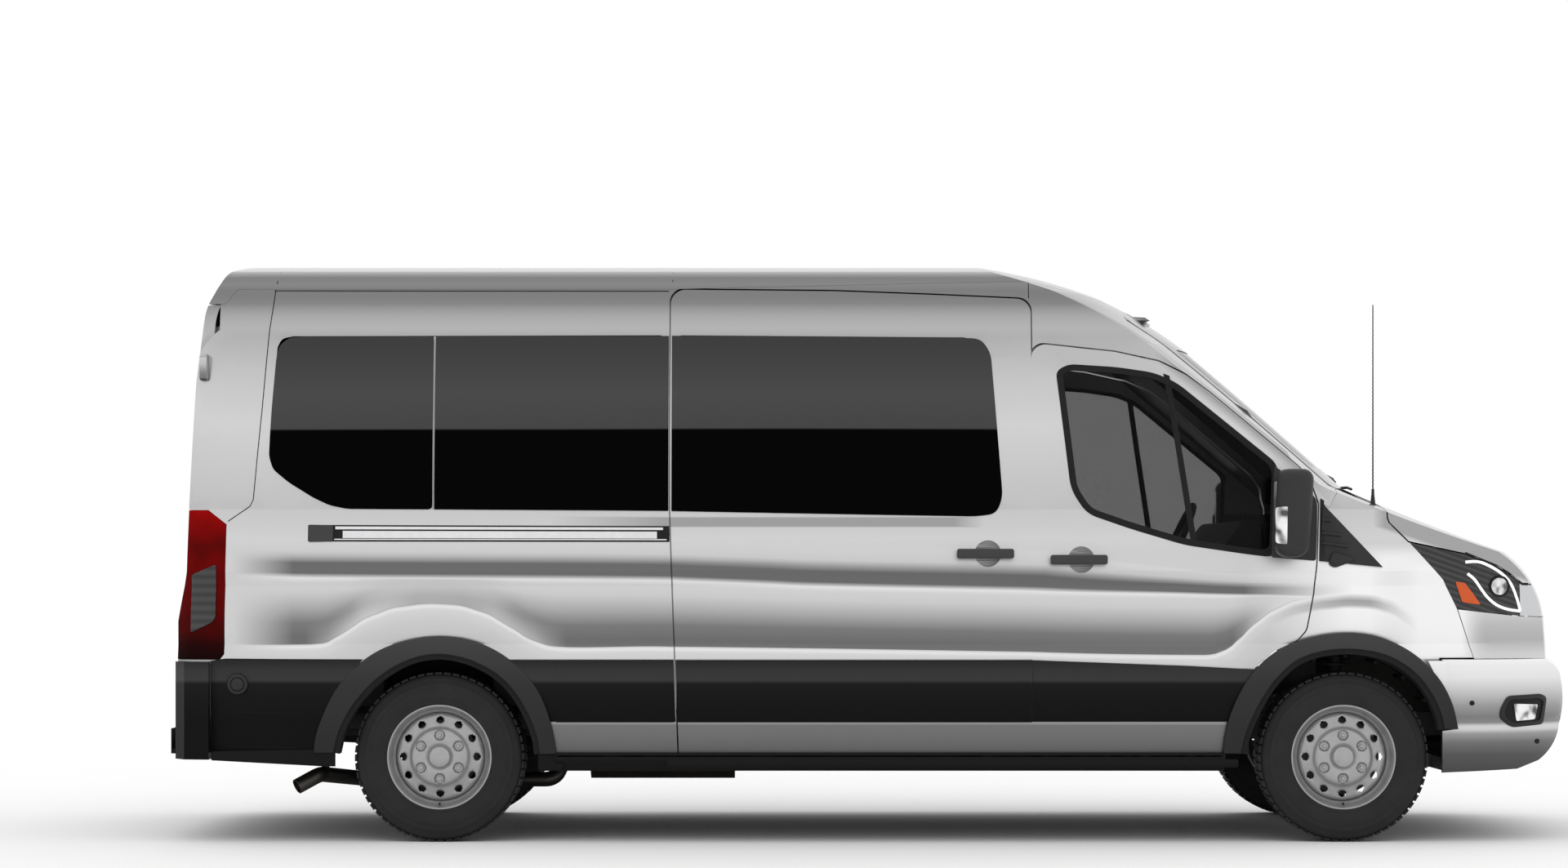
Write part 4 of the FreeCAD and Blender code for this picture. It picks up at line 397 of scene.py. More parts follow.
# Dark cabin and underbody parts: moulded liners, the tank, the dashboard, coated
# steel frames, cast axle parts and the stainless exhaust.
liner_black = moulded("liner_black", (0.012, 0.012, 0.012), 0.85, 260.0, 0.001)
tank_black = moulded("tank_black", (0.02, 0.02, 0.021), 0.5, 500.0, 0.0006)
cabin_grey = moulded("cabin_grey", (0.045, 0.045, 0.048), 0.6, 1100.0, 0.0004)
coated_steel = moulded("coated_steel", (0.05, 0.05, 0.052), 0.55, 80.0, 0.0008)
spring_black = moulded("spring_black", (0.02, 0.02, 0.02), 0.5, 200.0, 0.0006)
cast_iron = Finish("cast_iron", (0.09, 0.088, 0.085), 0.7, 0.6)
cast_iron.bump(cast_iron.noise(220.0, 4.0), 0.5, 0.001)
cast_iron.mottled(18.0, 4.0, (0.07, 0.068, 0.066), (0.14, 0.13, 0.12))
exhaust_steel = Finish("exhaust_steel", (0.05, 0.048, 0.046), 0.42, 0.9)
exhaust_steel.mottled(9.0, 3.0, (0.04, 0.038, 0.036), (0.10, 0.09, 0.08))
for finish, nodes in ((liner_black, ("wheel_liners",)), (tank_black, ("fuel_tank",)),
                      (cabin_grey, ("dashboard",)), (coated_steel, ("floor_pan", "chassis_rails")),
                      (spring_black, ("leaf_springs", "propshaft", "front_suspension")),
                      (cast_iron, ("rear_axle", "engine_block", "knuckle_right", "knuckle_left")),
                      (exhaust_steel, ("exhaust",))):
    for node in nodes:
        dress(node, finish)


# Privacy glass in the sides and the rear doors: near black below, and over its upper
# half a painted reflection of the bright sky in smoky grey, where a little lacquer
# gloss shows.
reflected_horizon_z = 1.713
privacy = Finish("privacy_glass", (0.002, 0.002, 0.002), 0.03, specular_ior_level=0.02, coat_roughness=0.01)
height = (privacy.z - reflected_horizon_z) * 2.4
above = ((privacy.z - reflected_horizon_z + privacy.noise(0.6, 0.0) * 0.012) * 120.0).clamped()
# Painted reflection: the smoky grey of the sky over the upper half.
painted_sky_reflection = privacy.ramp(height, ((0.0, 0.058), (0.35, 0.066), (0.75, 0.050), (1.0, 0.042)))
privacy.coloured(privacy.blend(above, grey(0.0006), painted_sky_reflection))
privacy.set(**{"Coat Weight": above * 0.12})
for node in ("rear_glass_right", "rear_glass_left"):
    dress(node, privacy)


# Clear safety glass in the front doors and the windscreen, lightly tinted, seen
# through, glossier at a slant.
def pane(finish, tint, ior):
    """Turns a finish into tinted glass: clear by its tint, glossy at a slant."""
    clear = finish.node("ShaderNodeBsdfTransparent", Color=(*tint, 1.0))
    slant = finish.node("ShaderNodeFresnel", IOR=ior)
    mixed = finish.node("ShaderNodeMixShader")
    links = finish.tree.links
    links.new(slant.outputs[0], mixed.inputs[0])
    links.new(clear.outputs[0], mixed.inputs[1])
    links.new(finish.shader.outputs[0], mixed.inputs[2])
    links.new(mixed.outputs[0], finish.tree.nodes["Material Output"].inputs["Surface"])


clear_glass = Finish("clear_glass", (0.9, 0.9, 0.9), 0.02, 1.0)
pane(clear_glass, (0.58, 0.58, 0.58), 1.15)
for node in ("windscreen", "front_door_glass_right", "front_door_glass_left"):
    dress(node, clear_glass)


# Rear wheels and front wheels are silver pressed steel; their tyres are black
# rubber with a raised ring on the wall and blocks across the tread.
wheel_silver = Finish("wheel_silver", (0.40, 0.40, 0.40), 0.38, 0.7, coat_weight=0.1)
wheel_silver.mottled(30.0, 3.0, (0.34, 0.34, 0.34), (0.44, 0.44, 0.44))
wheel_silver.bump(wheel_silver.noise(500.0), 0.06, 0.0004)
tyre_rubber = Finish("tyre_rubber", (0.016, 0.016, 0.017), 0.7, specular_ior_level=0.25)
tyre_rubber.mottled(12.0, 3.0, (0.013, 0.013, 0.014), (0.024, 0.024, 0.025))
tyre_rubber.bump(tyre_rubber.noise(500.0, 3.0), 0.3, 0.0006)
tyre_radius = 0.352
tyre_profile = ((0.2045, 0.086), (0.219, 0.1065), (0.226, 0.1095), (0.232, 0.1085), (0.246, 0.1135),
                (0.272, 0.1172), (0.284, 0.1175), (0.288, 0.1160), (0.292, 0.1172), (0.306, 0.1150),
                (0.309, 0.1125), (0.322, 0.1095), (0.334, 0.1045), (0.341, 0.0975), (0.3445, 0.086))
crown_radius = 0.3452
groove_radius = 0.337
tread_grooves = (0.062, 0.022)
tread_rows = ((0.068, 0.101, 0.008), (0.028, 0.056, 0.008), (-0.016, 0.016, -0.004), (-0.056, -0.028, -0.004),
              (-0.101, -0.068, -0.004))
tread_block_half = 0.0135
tread_block_count = 60
tread_foot = 0.343
ground_gap = 0.0012
axle_x = {"front": 1.941, "rear": -1.809}
half_track = 0.865
hands = (("right", -1), ("left", 1))


def drawn(name, lines, closed=False):
    """A curve of straight lines through the given places."""
    bpy.ops.object.select_all(action="DESELECT")
    bpy.ops.curve.primitive_bezier_curve_add()
    piece = bpy.context.object
    piece.name = name
    piece.data.splines.clear()
    for places in lines:
        line = piece.data.splines.new("POLY")
        line.points.add(len(places) - 1)
        line.use_cyclic_u = closed
        for point, place in zip(line.points, places):
            point.co = (*place, 1.0)
    piece.location = (0, 0, 0)
    piece.rotation_euler = (0, 0, 0)
    return piece


def spun(name, profile, centre, side, steps=96):
    """A profile of radius and outward reach, drawn as a line and spun about a level axle."""
    piece = drawn(name, [[(0.0, reach * side, radius) for radius, reach in profile]])
    piece.data.dimensions = "3D"
    bpy.ops.object.convert(target="MESH")
    bpy.ops.object.mode_set(mode="EDIT")
    bpy.ops.mesh.select_all(action="SELECT")
    bpy.ops.mesh.spin(steps=steps, angle=2 * math.pi, center=(0, 0, 0), axis=(0, 1, 0))
    bpy.ops.mesh.select_all(action="SELECT")
    bpy.ops.mesh.remove_doubles(threshold=0.00001)
    bpy.ops.mesh.normals_make_consistent(inside=False)
    bpy.ops.object.mode_set(mode="OBJECT")
    piece.data.transform(Matrix.Translation(centre))
    return piece


def smoothed(piece, angle=0.6):
    """Smooth shading that keeps the sharp edges."""
    bpy.ops.object.select_all(action="DESELECT")
    piece.select_set(True)
    bpy.context.view_layer.objects.active = piece
    bpy.ops.object.shade_smooth_by_angle(angle=angle)
    return piece


def fitted(piece, finish, body="van_body", replaces=()):
    """Gives a new piece its finish and fixes it to the body that it moves with."""
    piece.data.materials.clear()
    piece.data.materials.append(finish.material)
    for face in piece.data.polygons:
        face.material_index = 0
    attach(piece, body)
    if replaces:
        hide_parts(*replaces)
    return piece


def joined(pieces, name):
    """Several meshes made one."""
    bpy.ops.object.select_all(action="DESELECT")
    for piece in pieces:
        piece.select_set(True)
    bpy.context.view_layer.objects.active = pieces[0]
    bpy.ops.object.join()
    pieces[0].name = name
    return pieces[0]


def block(name, low, high, bevel=0.0, segments=3):
    """A box between two corners with rounded edges."""
    bpy.ops.object.select_all(action="DESELECT")
    middle = [(a + b) / 2 for a, b in zip(low, high)]
    bpy.ops.mesh.primitive_cube_add(size=1.0, location=middle)
    piece = bpy.context.object
    piece.name = name
    piece.scale = [abs(b - a) for a, b in zip(low, high)]
    bpy.ops.object.transform_apply(location=True, rotation=True, scale=True)
    if bevel > 0:
        rounding = piece.modifiers.new("rounding", "BEVEL")
        rounding.width = bevel
        rounding.segments = segments
        bpy.ops.object.modifier_apply(modifier="rounding")
    return smoothed(piece)


def ring_of(piece, centre, count, name):
    """Copies of a piece set evenly round an axle and joined."""
    copies = [piece]
    for step in range(1, count):
        copy = piece.copy()
        copy.data = piece.data.copy()
        bpy.context.scene.collection.objects.link(copy)
        turn = Matrix.Rotation(2 * math.pi * step / count, 4, "Y")
        copy.data.transform(Matrix.Translation(centre) @ turn @ Matrix.Translation(-Vector(centre)))
        copies.append(copy)
    return joined(copies, name)


for end, x in axle_x.items():
    for hand, side in hands:
        wheel = "wheel_" + end + "_" + hand
        dress(wheel, wheel_silver)
        middle_y = side * half_track
        centre = (x, middle_y, tyre_radius)
        crown = []
        for groove in tread_grooves:
            crown += [(crown_radius, groove + 0.006), (groove_radius, groove + 0.005),
                      (groove_radius, groove - 0.005), (crown_radius, groove - 0.006)]
        half = list(tyre_profile) + crown
        whole = half + [(radius, -reach) for radius, reach in reversed(half)]
        carcass = smoothed(spun("tyre_carcass", whole, centre, side, 120), 0.5)
        blocks = []
        for low, high, shift in tread_rows:
            corner = (x + shift - tread_block_half, middle_y + low, tread_foot + tyre_radius)
            opposite = (x + shift + tread_block_half, middle_y + high, 2 * tyre_radius - ground_gap)
            blocks.append(block("tread_block", corner, opposite))
        tread = ring_of(joined(blocks, "tread_blocks"), centre, tread_block_count, "tread_blocks")
        made = joined([carcass, tread], "tyre_" + end + "_" + hand + "_rubber")
        fitted(made, tyre_rubber, wheel, replaces=["tyre_" + end + "_" + hand])


# The front door window sits in a black rubber surround with a fixed divider bar;
# thin plates like it are cut from sheet and laid on the body's own surface.
skins = {}
flank_nodes = ("side_body", "front_door", "sliding_door", "front_fenders", "nose_panels", "headlamps",
               "front_bumper", "roof_panel", "hood", "side_glass", "sliding_door_glass", "front_door_glass",
               "tail_lamps")
search_steps = (0.0, 0.012, 0.03, 0.06, 0.12)


def around(spread):
    """A place and its four neighbours."""
    return (0, 0), (spread, 0), (-spread, 0), (0, spread), (0, -spread)


def skin(node):
    """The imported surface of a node, kept for measuring."""
    if node not in skins:
        skins[node] = BVHTree.FromObject(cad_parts[node], bpy.context.evaluated_depsgraph_get())
    return skins[node]


def skin_y(x, z, side, nodes):
    """How far out the named parts reach at a place in the side view, the nearest place if they miss it."""
    names = []
    for node in nodes:
        handed = node + ("_right" if side < 0 else "_left")
        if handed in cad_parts:
            names.append(handed)
        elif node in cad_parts:
            names.append(node)
    for spread in search_steps:
        reach = 0.0
        for dx, dz in around(spread):
            for node in names:
                hit = skin(node).ray_cast(Vector((x + dx, side * 3.0, z + dz)), Vector((0, -side, 0)))[0]
                if hit is not None:
                    reach = max(reach, abs(hit.y))
            if reach > 0:
                return side * reach
    return side * 1.0


def rounded(corners, radius, steps=5):
    """An outline whose corners are rounded off by short arcs."""
    made = []
    count = len(corners)
    for i, corner in enumerate(corners):
        here = Vector(corner)
        before = Vector(corners[i - 1]) - here
        after = Vector(corners[(i + 1) % count]) - here
        size = radius[i] if isinstance(radius, (list, tuple)) else radius
        reach = min(size, 0.45 * before.length, 0.45 * after.length)
        if reach < 0.0005:
            made.append(tuple(here))
            continue
        first = here + before.normalized() * reach
        last = here + after.normalized() * reach
        for step in range(steps + 1):
            share = step / steps
            made.append(tuple(first * (1 - share) ** 2 + here * 2 * share * (1 - share) + last * share ** 2))
    return made


def offset(corners, grow):
    """An outline moved outwards all round."""
    count = len(corners)
    area = sum(corners[i - 1][0] * corners[i][1] - corners[i][0] * corners[i - 1][1] for i in range(count))
    sign = 1.0 if area > 0 else -1.0
    made = []
    for i in range(count):
        here = Vector(corners[i])
        into = (here - Vector(corners[i - 1])).normalized()
        out = (Vector(corners[(i + 1) % count]) - here).normalized()
        normal = Vector((into.y + out.y, -into.x - out.x))
        made.append(tuple(here + normal * (grow * sign / (1 + into.dot(out)))))
    return made


def sheet(name, outlines, thickness, bevel=0.0):
    """A flat plate in the side view plane; the first outline is its edge, the others are its holes."""
    piece = drawn(name, [[(x, z, 0.0) for x, z in outline] for outline in outlines], True)
    piece.data.dimensions = "2D"
    piece.data.fill_mode = "BOTH"
    piece.data.extrude = max(thickness / 2 - bevel, 0.0001)
    piece.data.bevel_depth = bevel
    piece.data.bevel_resolution = 2
    piece.data.offset = -bevel
    bpy.ops.object.convert(target="MESH")
    piece.data.transform(Matrix.Rotation(math.pi / 2, 4, "X"))
    return piece


def sliced(piece, axis, pitch):
    """Cuts a plate into narrow strips so that it can follow a curve."""
    places = [v.co[axis] for v in piece.data.vertices]
    low, high = min(places), max(places)
    count = int((high - low) / pitch)
    normal = [0, 0, 0]
    normal[axis] = 1
    bpy.ops.object.select_all(action="DESELECT")
    piece.select_set(True)
    bpy.context.view_layer.objects.active = piece
    bpy.ops.object.mode_set(mode="EDIT")
    for i in range(1, count + 1):
        place = [0, 0, 0]
        place[axis] = low + (high - low) * i / (count + 1)
        bpy.ops.mesh.select_all(action="SELECT")
        bpy.ops.mesh.bisect(plane_co=place, plane_no=normal)
    bpy.ops.object.mode_set(mode="OBJECT")
    return piece


def welded(piece, angle=0.5):
    """Closes the joints that slicing leaves and smooths the piece."""
    bpy.ops.object.mode_set(mode="EDIT")
    bpy.ops.mesh.select_all(action="SELECT")
    bpy.ops.mesh.remove_doubles(threshold=0.00002)
    bpy.ops.mesh.normals_make_consistent(inside=False)
    bpy.ops.object.mode_set(mode="OBJECT")
    return smoothed(piece, angle)


def laid(name, outlines, thickness, side, lift=0.0, bevel=0.0, nodes=flank_nodes, pitch=0.045, pitch_x=0.15):
    """A plate that lies on the flank, its middle at the surface and lifted by lift."""
    piece = sheet(name, outlines, thickness, bevel)
    sliced(sliced(piece, 2, pitch), 0, pitch_x)
    for vertex in piece.data.vertices:
        vertex.co.y += skin_y(vertex.co.x, vertex.co.z, side, nodes) + side * lift
    return welded(piece)


def picked(piece, test):
    """Opens a piece for editing with only those faces selected that pass the test."""
    bpy.ops.object.select_all(action="DESELECT")
    piece.select_set(True)
    bpy.context.view_layer.objects.active = piece
    bpy.ops.object.mode_set(mode="EDIT")
    bpy.ops.mesh.select_mode(type="FACE")
    bpy.ops.mesh.select_all(action="DESELECT")
    bpy.ops.object.mode_set(mode="OBJECT")
    for face in piece.data.polygons:
        face.select = test(face)
    bpy.ops.object.mode_set(mode="EDIT")


def disc(x, z, radius, steps=24):
    """A round outline in the side view."""
    turns = [2 * math.pi * step / steps for step in range(steps)]
    return [(x + radius * math.cos(a), z + radius * math.sin(a)) for a in turns]


def ribbon(points, width):
    """The outline of a narrow strip along a line."""
    left, right = [], []
    for i, point in enumerate(points):
        here = Vector(point)
        way = Vector(points[min(i + 1, len(points) - 1)]) - Vector(points[max(i - 1, 0)])
        across = Vector((-way.y, way.x)).normalized() * width / 2
        left.append(tuple(here + across))
        right.append(tuple(here - across))
    return left + right[::-1]


rubber_black = moulded("rubber_black", (0.010, 0.010, 0.010), 0.6, 1500.0, 0.0002)
door_window = ((0.760, 1.950), (0.806, 1.974), (0.998, 1.962), (1.155, 1.939), (1.245, 1.899), (1.660, 1.560),
               (1.645, 1.190), (1.539, 1.203), (1.281, 1.241), (1.058, 1.308), (0.880, 1.370), (0.818, 1.465))
divider = ((1.196, 1.945), (1.222, 1.935), (1.330, 1.238), (1.304, 1.241))
for hand, side in hands:
    body = "front_door_" + hand
    edge = rounded(offset(door_window, 0.010), 0.045)
    hole = rounded(offset(door_window, -0.017), 0.035)
    surround = laid("window_surround_" + hand, [edge, hole], 0.007, side, lift=0.001, bevel=0.002)
    fitted(surround, rubber_black, body)
    bar = laid("window_divider_" + hand, [divider], 0.006, side, lift=-0.001, bevel=0.0015)
    fitted(bar, rubber_black, body)


# Frameless privacy panes bonded flush over the sides: two quarter panes a side,
# the sliding door's pane on the right and a fixed middle pane on the left.
def curved(points, steps=6, closed=True):
    """A smooth line through the given points."""
    made = []
    count = len(points)
    last = count if closed else count - 1
    for i in range(last):
        a, b, c, d = (Vector(points[(i + k) % count] if closed else points[min(max(i + k, 0), count - 1)])
                      for k in (-1, 0, 1, 2))
        for step in range(steps):
            t = step / steps
            made.append(tuple(0.5 * (2 * b + (c - a) * t + (2 * a - 5 * b + 4 * c - d) * t * t
                                     + (3 * b - a - 3 * c + d) * t ** 3)))
    if not closed:
        made.append(tuple(points[-1]))
    return made


pane_thickness = 0.004
quarter_back = ((-1.836, 1.379), (-2.190, 1.381), (-2.262, 1.396), (-2.330, 1.428), (-2.430, 1.490),
                (-2.497, 1.545), (-2.514, 1.600), (-2.511, 1.680), (-2.505, 1.800), (-2.490, 2.010),
                (-2.478, 2.062), (-2.440, 2.094), (-2.390, 2.099), (-1.836, 2.101))
quarter_front = ((-0.8585, 1.373), (-1.828, 1.379), (-1.828, 2.101), (-0.8585, 2.102))
door_pane = ((-0.846, 1.372), (-0.846, 2.103), (0.330, 2.096), (0.440, 2.090), (0.480, 2.030), (0.526, 1.430),
             (0.500, 1.362), (0.420, 1.350), (0.100, 1.355))
door_pane_radii = (0.003, 0.003, 0.05, 0.06, 0.08, 0.09, 0.05, 0.05, 0.05)
pane_seal = ((-1.838, 1.380), (-1.838, 2.100), (-1.826, 2.100), (-1.826, 1.380))
seal_grey = moulded("seal_grey", (0.30, 0.30, 0.30), 0.5, 800.0, 0.0002)
panes = {"right": [], "left": []}
for hand, side in hands:
    for outline, radii in ((quarter_back, 0.02), (quarter_front, 0.003)):
        pane_edge = rounded(outline, radii)
        panes[hand].append(laid("quarter_pane", [pane_edge], pane_thickness, side, lift=0.003, bevel=0.001))
    seal = laid("pane_seal_" + hand, [pane_seal], 0.002, side, lift=0.001)
    fitted(seal, seal_grey)
door_edge = rounded(door_pane, door_pane_radii)
panes["left"].append(laid("middle_pane", [door_edge], pane_thickness, 1, lift=0.003, bevel=0.001))
fixed = joined(panes["right"] + panes["left"], "fixed_side_panes")
fitted(smoothed(fixed), privacy, replaces=["side_glass"])
slider = laid("sliding_door_pane", [door_edge], pane_thickness, -1, lift=0.003, bevel=0.001)
fitted(slider, privacy, replaces=["sliding_door_glass"])


# Black lips ring the four wheel arches, thick at the edge and rolled in towards
# the wheel; the lips carry painted light, lighter towards their tops, and the
# rolled-in return is finished darker as painted shade inside the arch. Grained
# bands fill the sides between them, with painted light above their crease and
# painted shade below it, and a plain skirt closes the foot of the side behind
# the rear wheel.
def moved_out(piece, y):
    """Shifts a plate from the middle plane out to its place."""
    piece.data.transform(Matrix.Translation((0, y, 0)))
    return piece


front_lip_outer = ((1.436, 0.368), (1.440, 0.420), (1.458, 0.510), (1.500, 0.612), (1.560, 0.706),
                   (1.650, 0.788), (1.770, 0.842), (1.910, 0.868), (2.040, 0.862), (2.150, 0.825),
                   (2.250, 0.762), (2.335, 0.670), (2.385, 0.570), (2.408, 0.470))
front_lip_inner = ((2.349, 0.470), (2.335, 0.535), (2.295, 0.620), (2.225, 0.706), (2.120, 0.772),
                   (1.990, 0.800), (1.860, 0.795), (1.750, 0.760), (1.665, 0.690), (1.590, 0.585),
                   (1.530, 0.455), (1.510, 0.368))
rear_lip_outer = ((-2.324, 0.371), (-2.318, 0.430), (-2.293, 0.510), (-2.235, 0.630), (-2.150, 0.728),
                  (-2.050, 0.798), (-1.930, 0.840), (-1.806, 0.855), (-1.680, 0.840), (-1.570, 0.795),
                  (-1.480, 0.730), (-1.405, 0.645), (-1.355, 0.535), (-1.328, 0.420), (-1.322, 0.366))
rear_lip_inner = ((-1.391, 0.366), (-1.400, 0.430), (-1.430, 0.515), (-1.490, 0.620), (-1.570, 0.700),
                  (-1.680, 0.757), (-1.805, 0.780), (-1.930, 0.757), (-2.050, 0.688), (-2.150, 0.585),
                  (-2.215, 0.470), (-2.241, 0.371))
side_band = ((-1.66, 0.745), (-1.60, 0.757), (-0.836, 0.757), (-0.828, 0.500), (-1.345, 0.500), (-1.375, 0.580),
             (-1.44, 0.680))
band_end = ((0.600, 0.757), (0.6405, 0.757), (0.6405, 0.500), (0.600, 0.500))
rear_skirt = ((-2.748, 0.380), (-2.236, 0.388), (-2.236, 0.3154), (-2.300, 0.3165), (-2.748, 0.3405))
arches = ((axle_x["front"], front_lip_outer, front_lip_inner),
          (axle_x["rear"], rear_lip_outer, rear_lip_inner))
lip_y = 1.021
lip_return_y = 0.975
lip_return_scale = 0.978
rear_skirt_y = 1.008
crease_z = 0.674
band_low = 0.50
lip_black_painted_light = Finish("lip_black_painted_light", (0.03, 0.03, 0.031), 0.42, specular_ior_level=0.25)
# Painted light: the lips are lighter towards their tops and darker down their sides.
lip_painted_top_light = ((0.0, 0.008), (0.25, 0.010), (0.6, 0.018), (0.85, 0.034), (1.0, 0.044))
lip_painted_light = lip_black_painted_light.ramp((lip_black_painted_light.z - 0.35) * 2.0, lip_painted_top_light)
lip_black_painted_light.coloured(lip_black_painted_light.blend(lip_black_painted_light.noise(5.0, 3.0) * 0.2, lip_painted_light, (0.05, 0.05, 0.051)))
lip_black_painted_light.bump(lip_black_painted_light.noise(900.0, 2.0), 0.3, 0.0004)
band_black_painted_shade = Finish("band_black_painted_shade", (0.016, 0.016, 0.017), 0.5, specular_ior_level=0.09)
# Painted light and shade: the bands are lighter just above their crease and near black below it.
lower = ((crease_z - band_black_painted_shade.z) * 60.0).clamped()
band_painted_upper_light = band_black_painted_shade.ramp((band_black_painted_shade.z - crease_z) * 12.0, ((0.0, 0.042), (0.5, 0.036), (1.0, 0.018)))
band_painted_lower_shade = band_black_painted_shade.ramp((band_black_painted_shade.z - band_low) * 5.6, ((0.0, 0.003), (0.5, 0.005), (1.0, 0.009)))
band_black_painted_shade.coloured(band_black_painted_shade.blend(lower, band_painted_upper_light, band_painted_lower_shade))
band_black_painted_shade.bump(band_black_painted_shade.noise(900.0, 2.0), 0.3, 0.0004)
for node in ("side_cladding", "sliding_door_trim", "rear_bumper"):
    dress(node, band_black_painted_shade)
lips = []
shaded_returns = []
for side in (-1, 1):
    for middle_x, outer_edge, inner_edge in arches:
        edge = curved(outer_edge, 4, False) + curved(inner_edge, 4, False)
        lips.append(moved_out(sheet("arch_lip", [edge], 0.024, bevel=0.006), side * lip_y))
        drawn_in = [(middle_x + (a - middle_x) * lip_return_scale,
                     tyre_radius + (b - tyre_radius) * lip_return_scale) for a, b in inner_edge]
        edge = ribbon(curved(drawn_in, 4, False), 0.026)
        shaded_returns.append(moved_out(sheet("arch_lip_return", [edge], 0.10, bevel=0.003), side * lip_return_y))
    filler = laid("side_band_filler", [side_band], 0.010, side, lift=0.006, bevel=0.002)
    if side > 0:
        end = laid("band_end", [band_end], 0.010, side, lift=0.005, bevel=0.002)
        filler = joined([filler, end], "side_band_filler_left")
    fitted(filler, band_black_painted_shade)
lips = smoothed(joined(lips, "wheel_arch_lips"), 0.7)
fitted(lips, lip_black_painted_light, replaces=["arch_flares"])
# The rolled-in returns are finished in the darker liner black as painted shade inside the arches.
shaded_returns = smoothed(joined(shaded_returns, "wheel_arch_returns_shade"), 0.7)
fitted(shaded_returns, liner_black)
for side in (-1, 1):
    skirt = moved_out(sheet("rear_skirt", [rear_skirt], 0.024, bevel=0.005), side * rear_skirt_y)
    fitted(smoothed(skirt), step_black)


# Pull handles on the side doors: a rounded bar on two feet over a shallow dished
# cup laid on the door, its silver painted darker as the shade of a recess.
door_nodes = ("front_door", "sliding_door")


def handle(name, x, z, side, body):
    """A pull bar with its feet, standing off the door."""
    base = skin_y(x, z, side, door_nodes + ("side_body",))
    out = base + side * 0.046
    pieces = [block("bar", (x - 0.118, out - 0.010, z - 0.020), (x + 0.118, out + 0.010, z + 0.020),
                    0.0098, 5)]
    for foot in (-0.095, 0.095):
        low, high = sorted((base - side * 0.01, out))
        corner, opposite = (x + foot - 0.016, low, z - 0.016), (x + foot + 0.016, high, z + 0.016)
        pieces.append(block("foot", corner, opposite, 0.006))
    made = joined(pieces, name)
    return fitted(smoothed(made), lip_black_painted_light, body)


# Painted shade: the cup's silver is darker, as in a recess.
cup_silver_painted_shade = silver_with_painted_shade("cup_silver_painted_shade", 0.5, 0.45)
cup_radius = 0.055
cup_shift = 0.012
cup_lift = 0.0008
handle_places = (("front_door_handle_right", 0.838, 1.171, -1, "front_door_right"),
                 ("front_door_handle_left", 0.838, 1.171, 1, "front_door_left"),
                 ("sliding_door_handle", 0.452, 1.196, -1, "van_body"))
for name, x, z, side, body in handle_places:
    handle(name, x, z, side, body)
    hollow = sheet(name + "_cup", [disc(x + cup_shift, z, cup_radius, 32)], 0.0)
    sliced(hollow, 2, 0.006)
    for vertex in hollow.data.vertices:
        share = math.hypot(vertex.co.x - x - cup_shift, vertex.co.z - z) / cup_radius
        vertex.co.y = skin_y(vertex.co.x, vertex.co.z, side, door_nodes) + side * cup_lift * share
    fitted(smoothed(hollow), cup_silver_painted_shade, body)


# The sliding door's rear guide is a black channel sunk in the side with three bright
# rails in it, closed by a black cap at its rear end.
rail_bright = Finish("rail_bright", (0.75, 0.75, 0.76), 0.35, 0.6)
rail_bright.mottled(40.0, 2.0, (0.70, 0.70, 0.71), (0.82, 0.82, 0.83))
track_black = moulded("track_black", (0.010, 0.010, 0.010), 0.5, 900.0, 0.0002)
channel = ((-2.349, 1.2460), (-2.349, 1.3150), (-0.853, 1.3100), (-0.853, 1.2440))
upper_rail = ((-2.236, 1.3085), (-2.236, 1.2965), (-0.880, 1.2935), (-0.880, 1.3040))
lower_rail = ((-2.205, 1.2905), (-2.205, 1.2600), (-0.905, 1.2580), (-0.905, 1.2870))
lowest_rail = ((-2.240, 1.2525), (-2.240, 1.2575), (-0.865, 1.2560), (-0.865, 1.2510))
end_cap = ((-2.346, 1.2440), (-2.346, 1.3160), (-2.245, 1.3140), (-2.245, 1.2460))
track_nodes = ("side_body",)
trough = laid("slide_channel", [rounded(channel, 0.004)], 0.006, -1, bevel=0.0015, nodes=track_nodes)
fitted(trough, track_black)
rails = [laid("slide_rail", [outline], 0.007, -1, lift=0.0015, bevel=0.001, nodes=track_nodes)
         for outline in (upper_rail, lower_rail, lowest_rail)]
fitted(joined(rails, "slide_rails"), rail_bright, replaces=["slide_track"])
cap = laid("slide_track_cap", [rounded(end_cap, 0.006)], 0.010, -1, lift=0.003, bevel=0.003,
           nodes=track_nodes)
fitted(cap, lip_black_painted_light)


# Tall tail lamps wrap the rear corners: deep red lenses with a smoked panel let
# into each; the red is darker towards the bottom and lighter near the top.
lens_red = Finish("lens_red", (0.30, 0.001, 0.001), 0.12, specular_ior_level=0.04)
lens_low = 0.757
lens_tall = 0.62
level = (lens_red.z - lens_low) * (1 / lens_tall)
red_height_tones = ((0.0, 0.02), (0.10, 0.06), (0.20, 0.20), (0.42, 0.34), (0.60, 0.46), (0.76, 0.34), (0.90, 0.66),
              (1.0, 0.85))
red_by_height = lens_red.ramp(level, red_height_tones)
cells = lens_red.noise(14.0, 0.0) * 0.5 + 0.7
lens_red.coloured(lens_red.scaled((0.33, 0.001, 0.001), red_by_height * cells))
dress("tail_lamps", lens_red)
smoked = Finish("smoked_lens", (0.045, 0.045, 0.047), 0.18, specular_ior_level=0.4, coat_weight=0.2)
lines = (smoked.z * 170.0).wave() * 0.5 + 0.5
smoked.coloured(smoked.blend(lines, (0.014, 0.014, 0.015), (0.040, 0.040, 0.042)))
insert = ((-2.835, 1.108), (-2.730, 1.152), (-2.732, 0.935), (-2.745, 0.912), (-2.840, 0.868))
for hand, side in hands:
    plate = laid("tail_insert_" + hand, [rounded(insert, 0.012)], 0.008, side, lift=0.0025, bevel=0.002,
                 nodes=("tail_lamps",), pitch=0.02)
    fitted(plate, smoked)


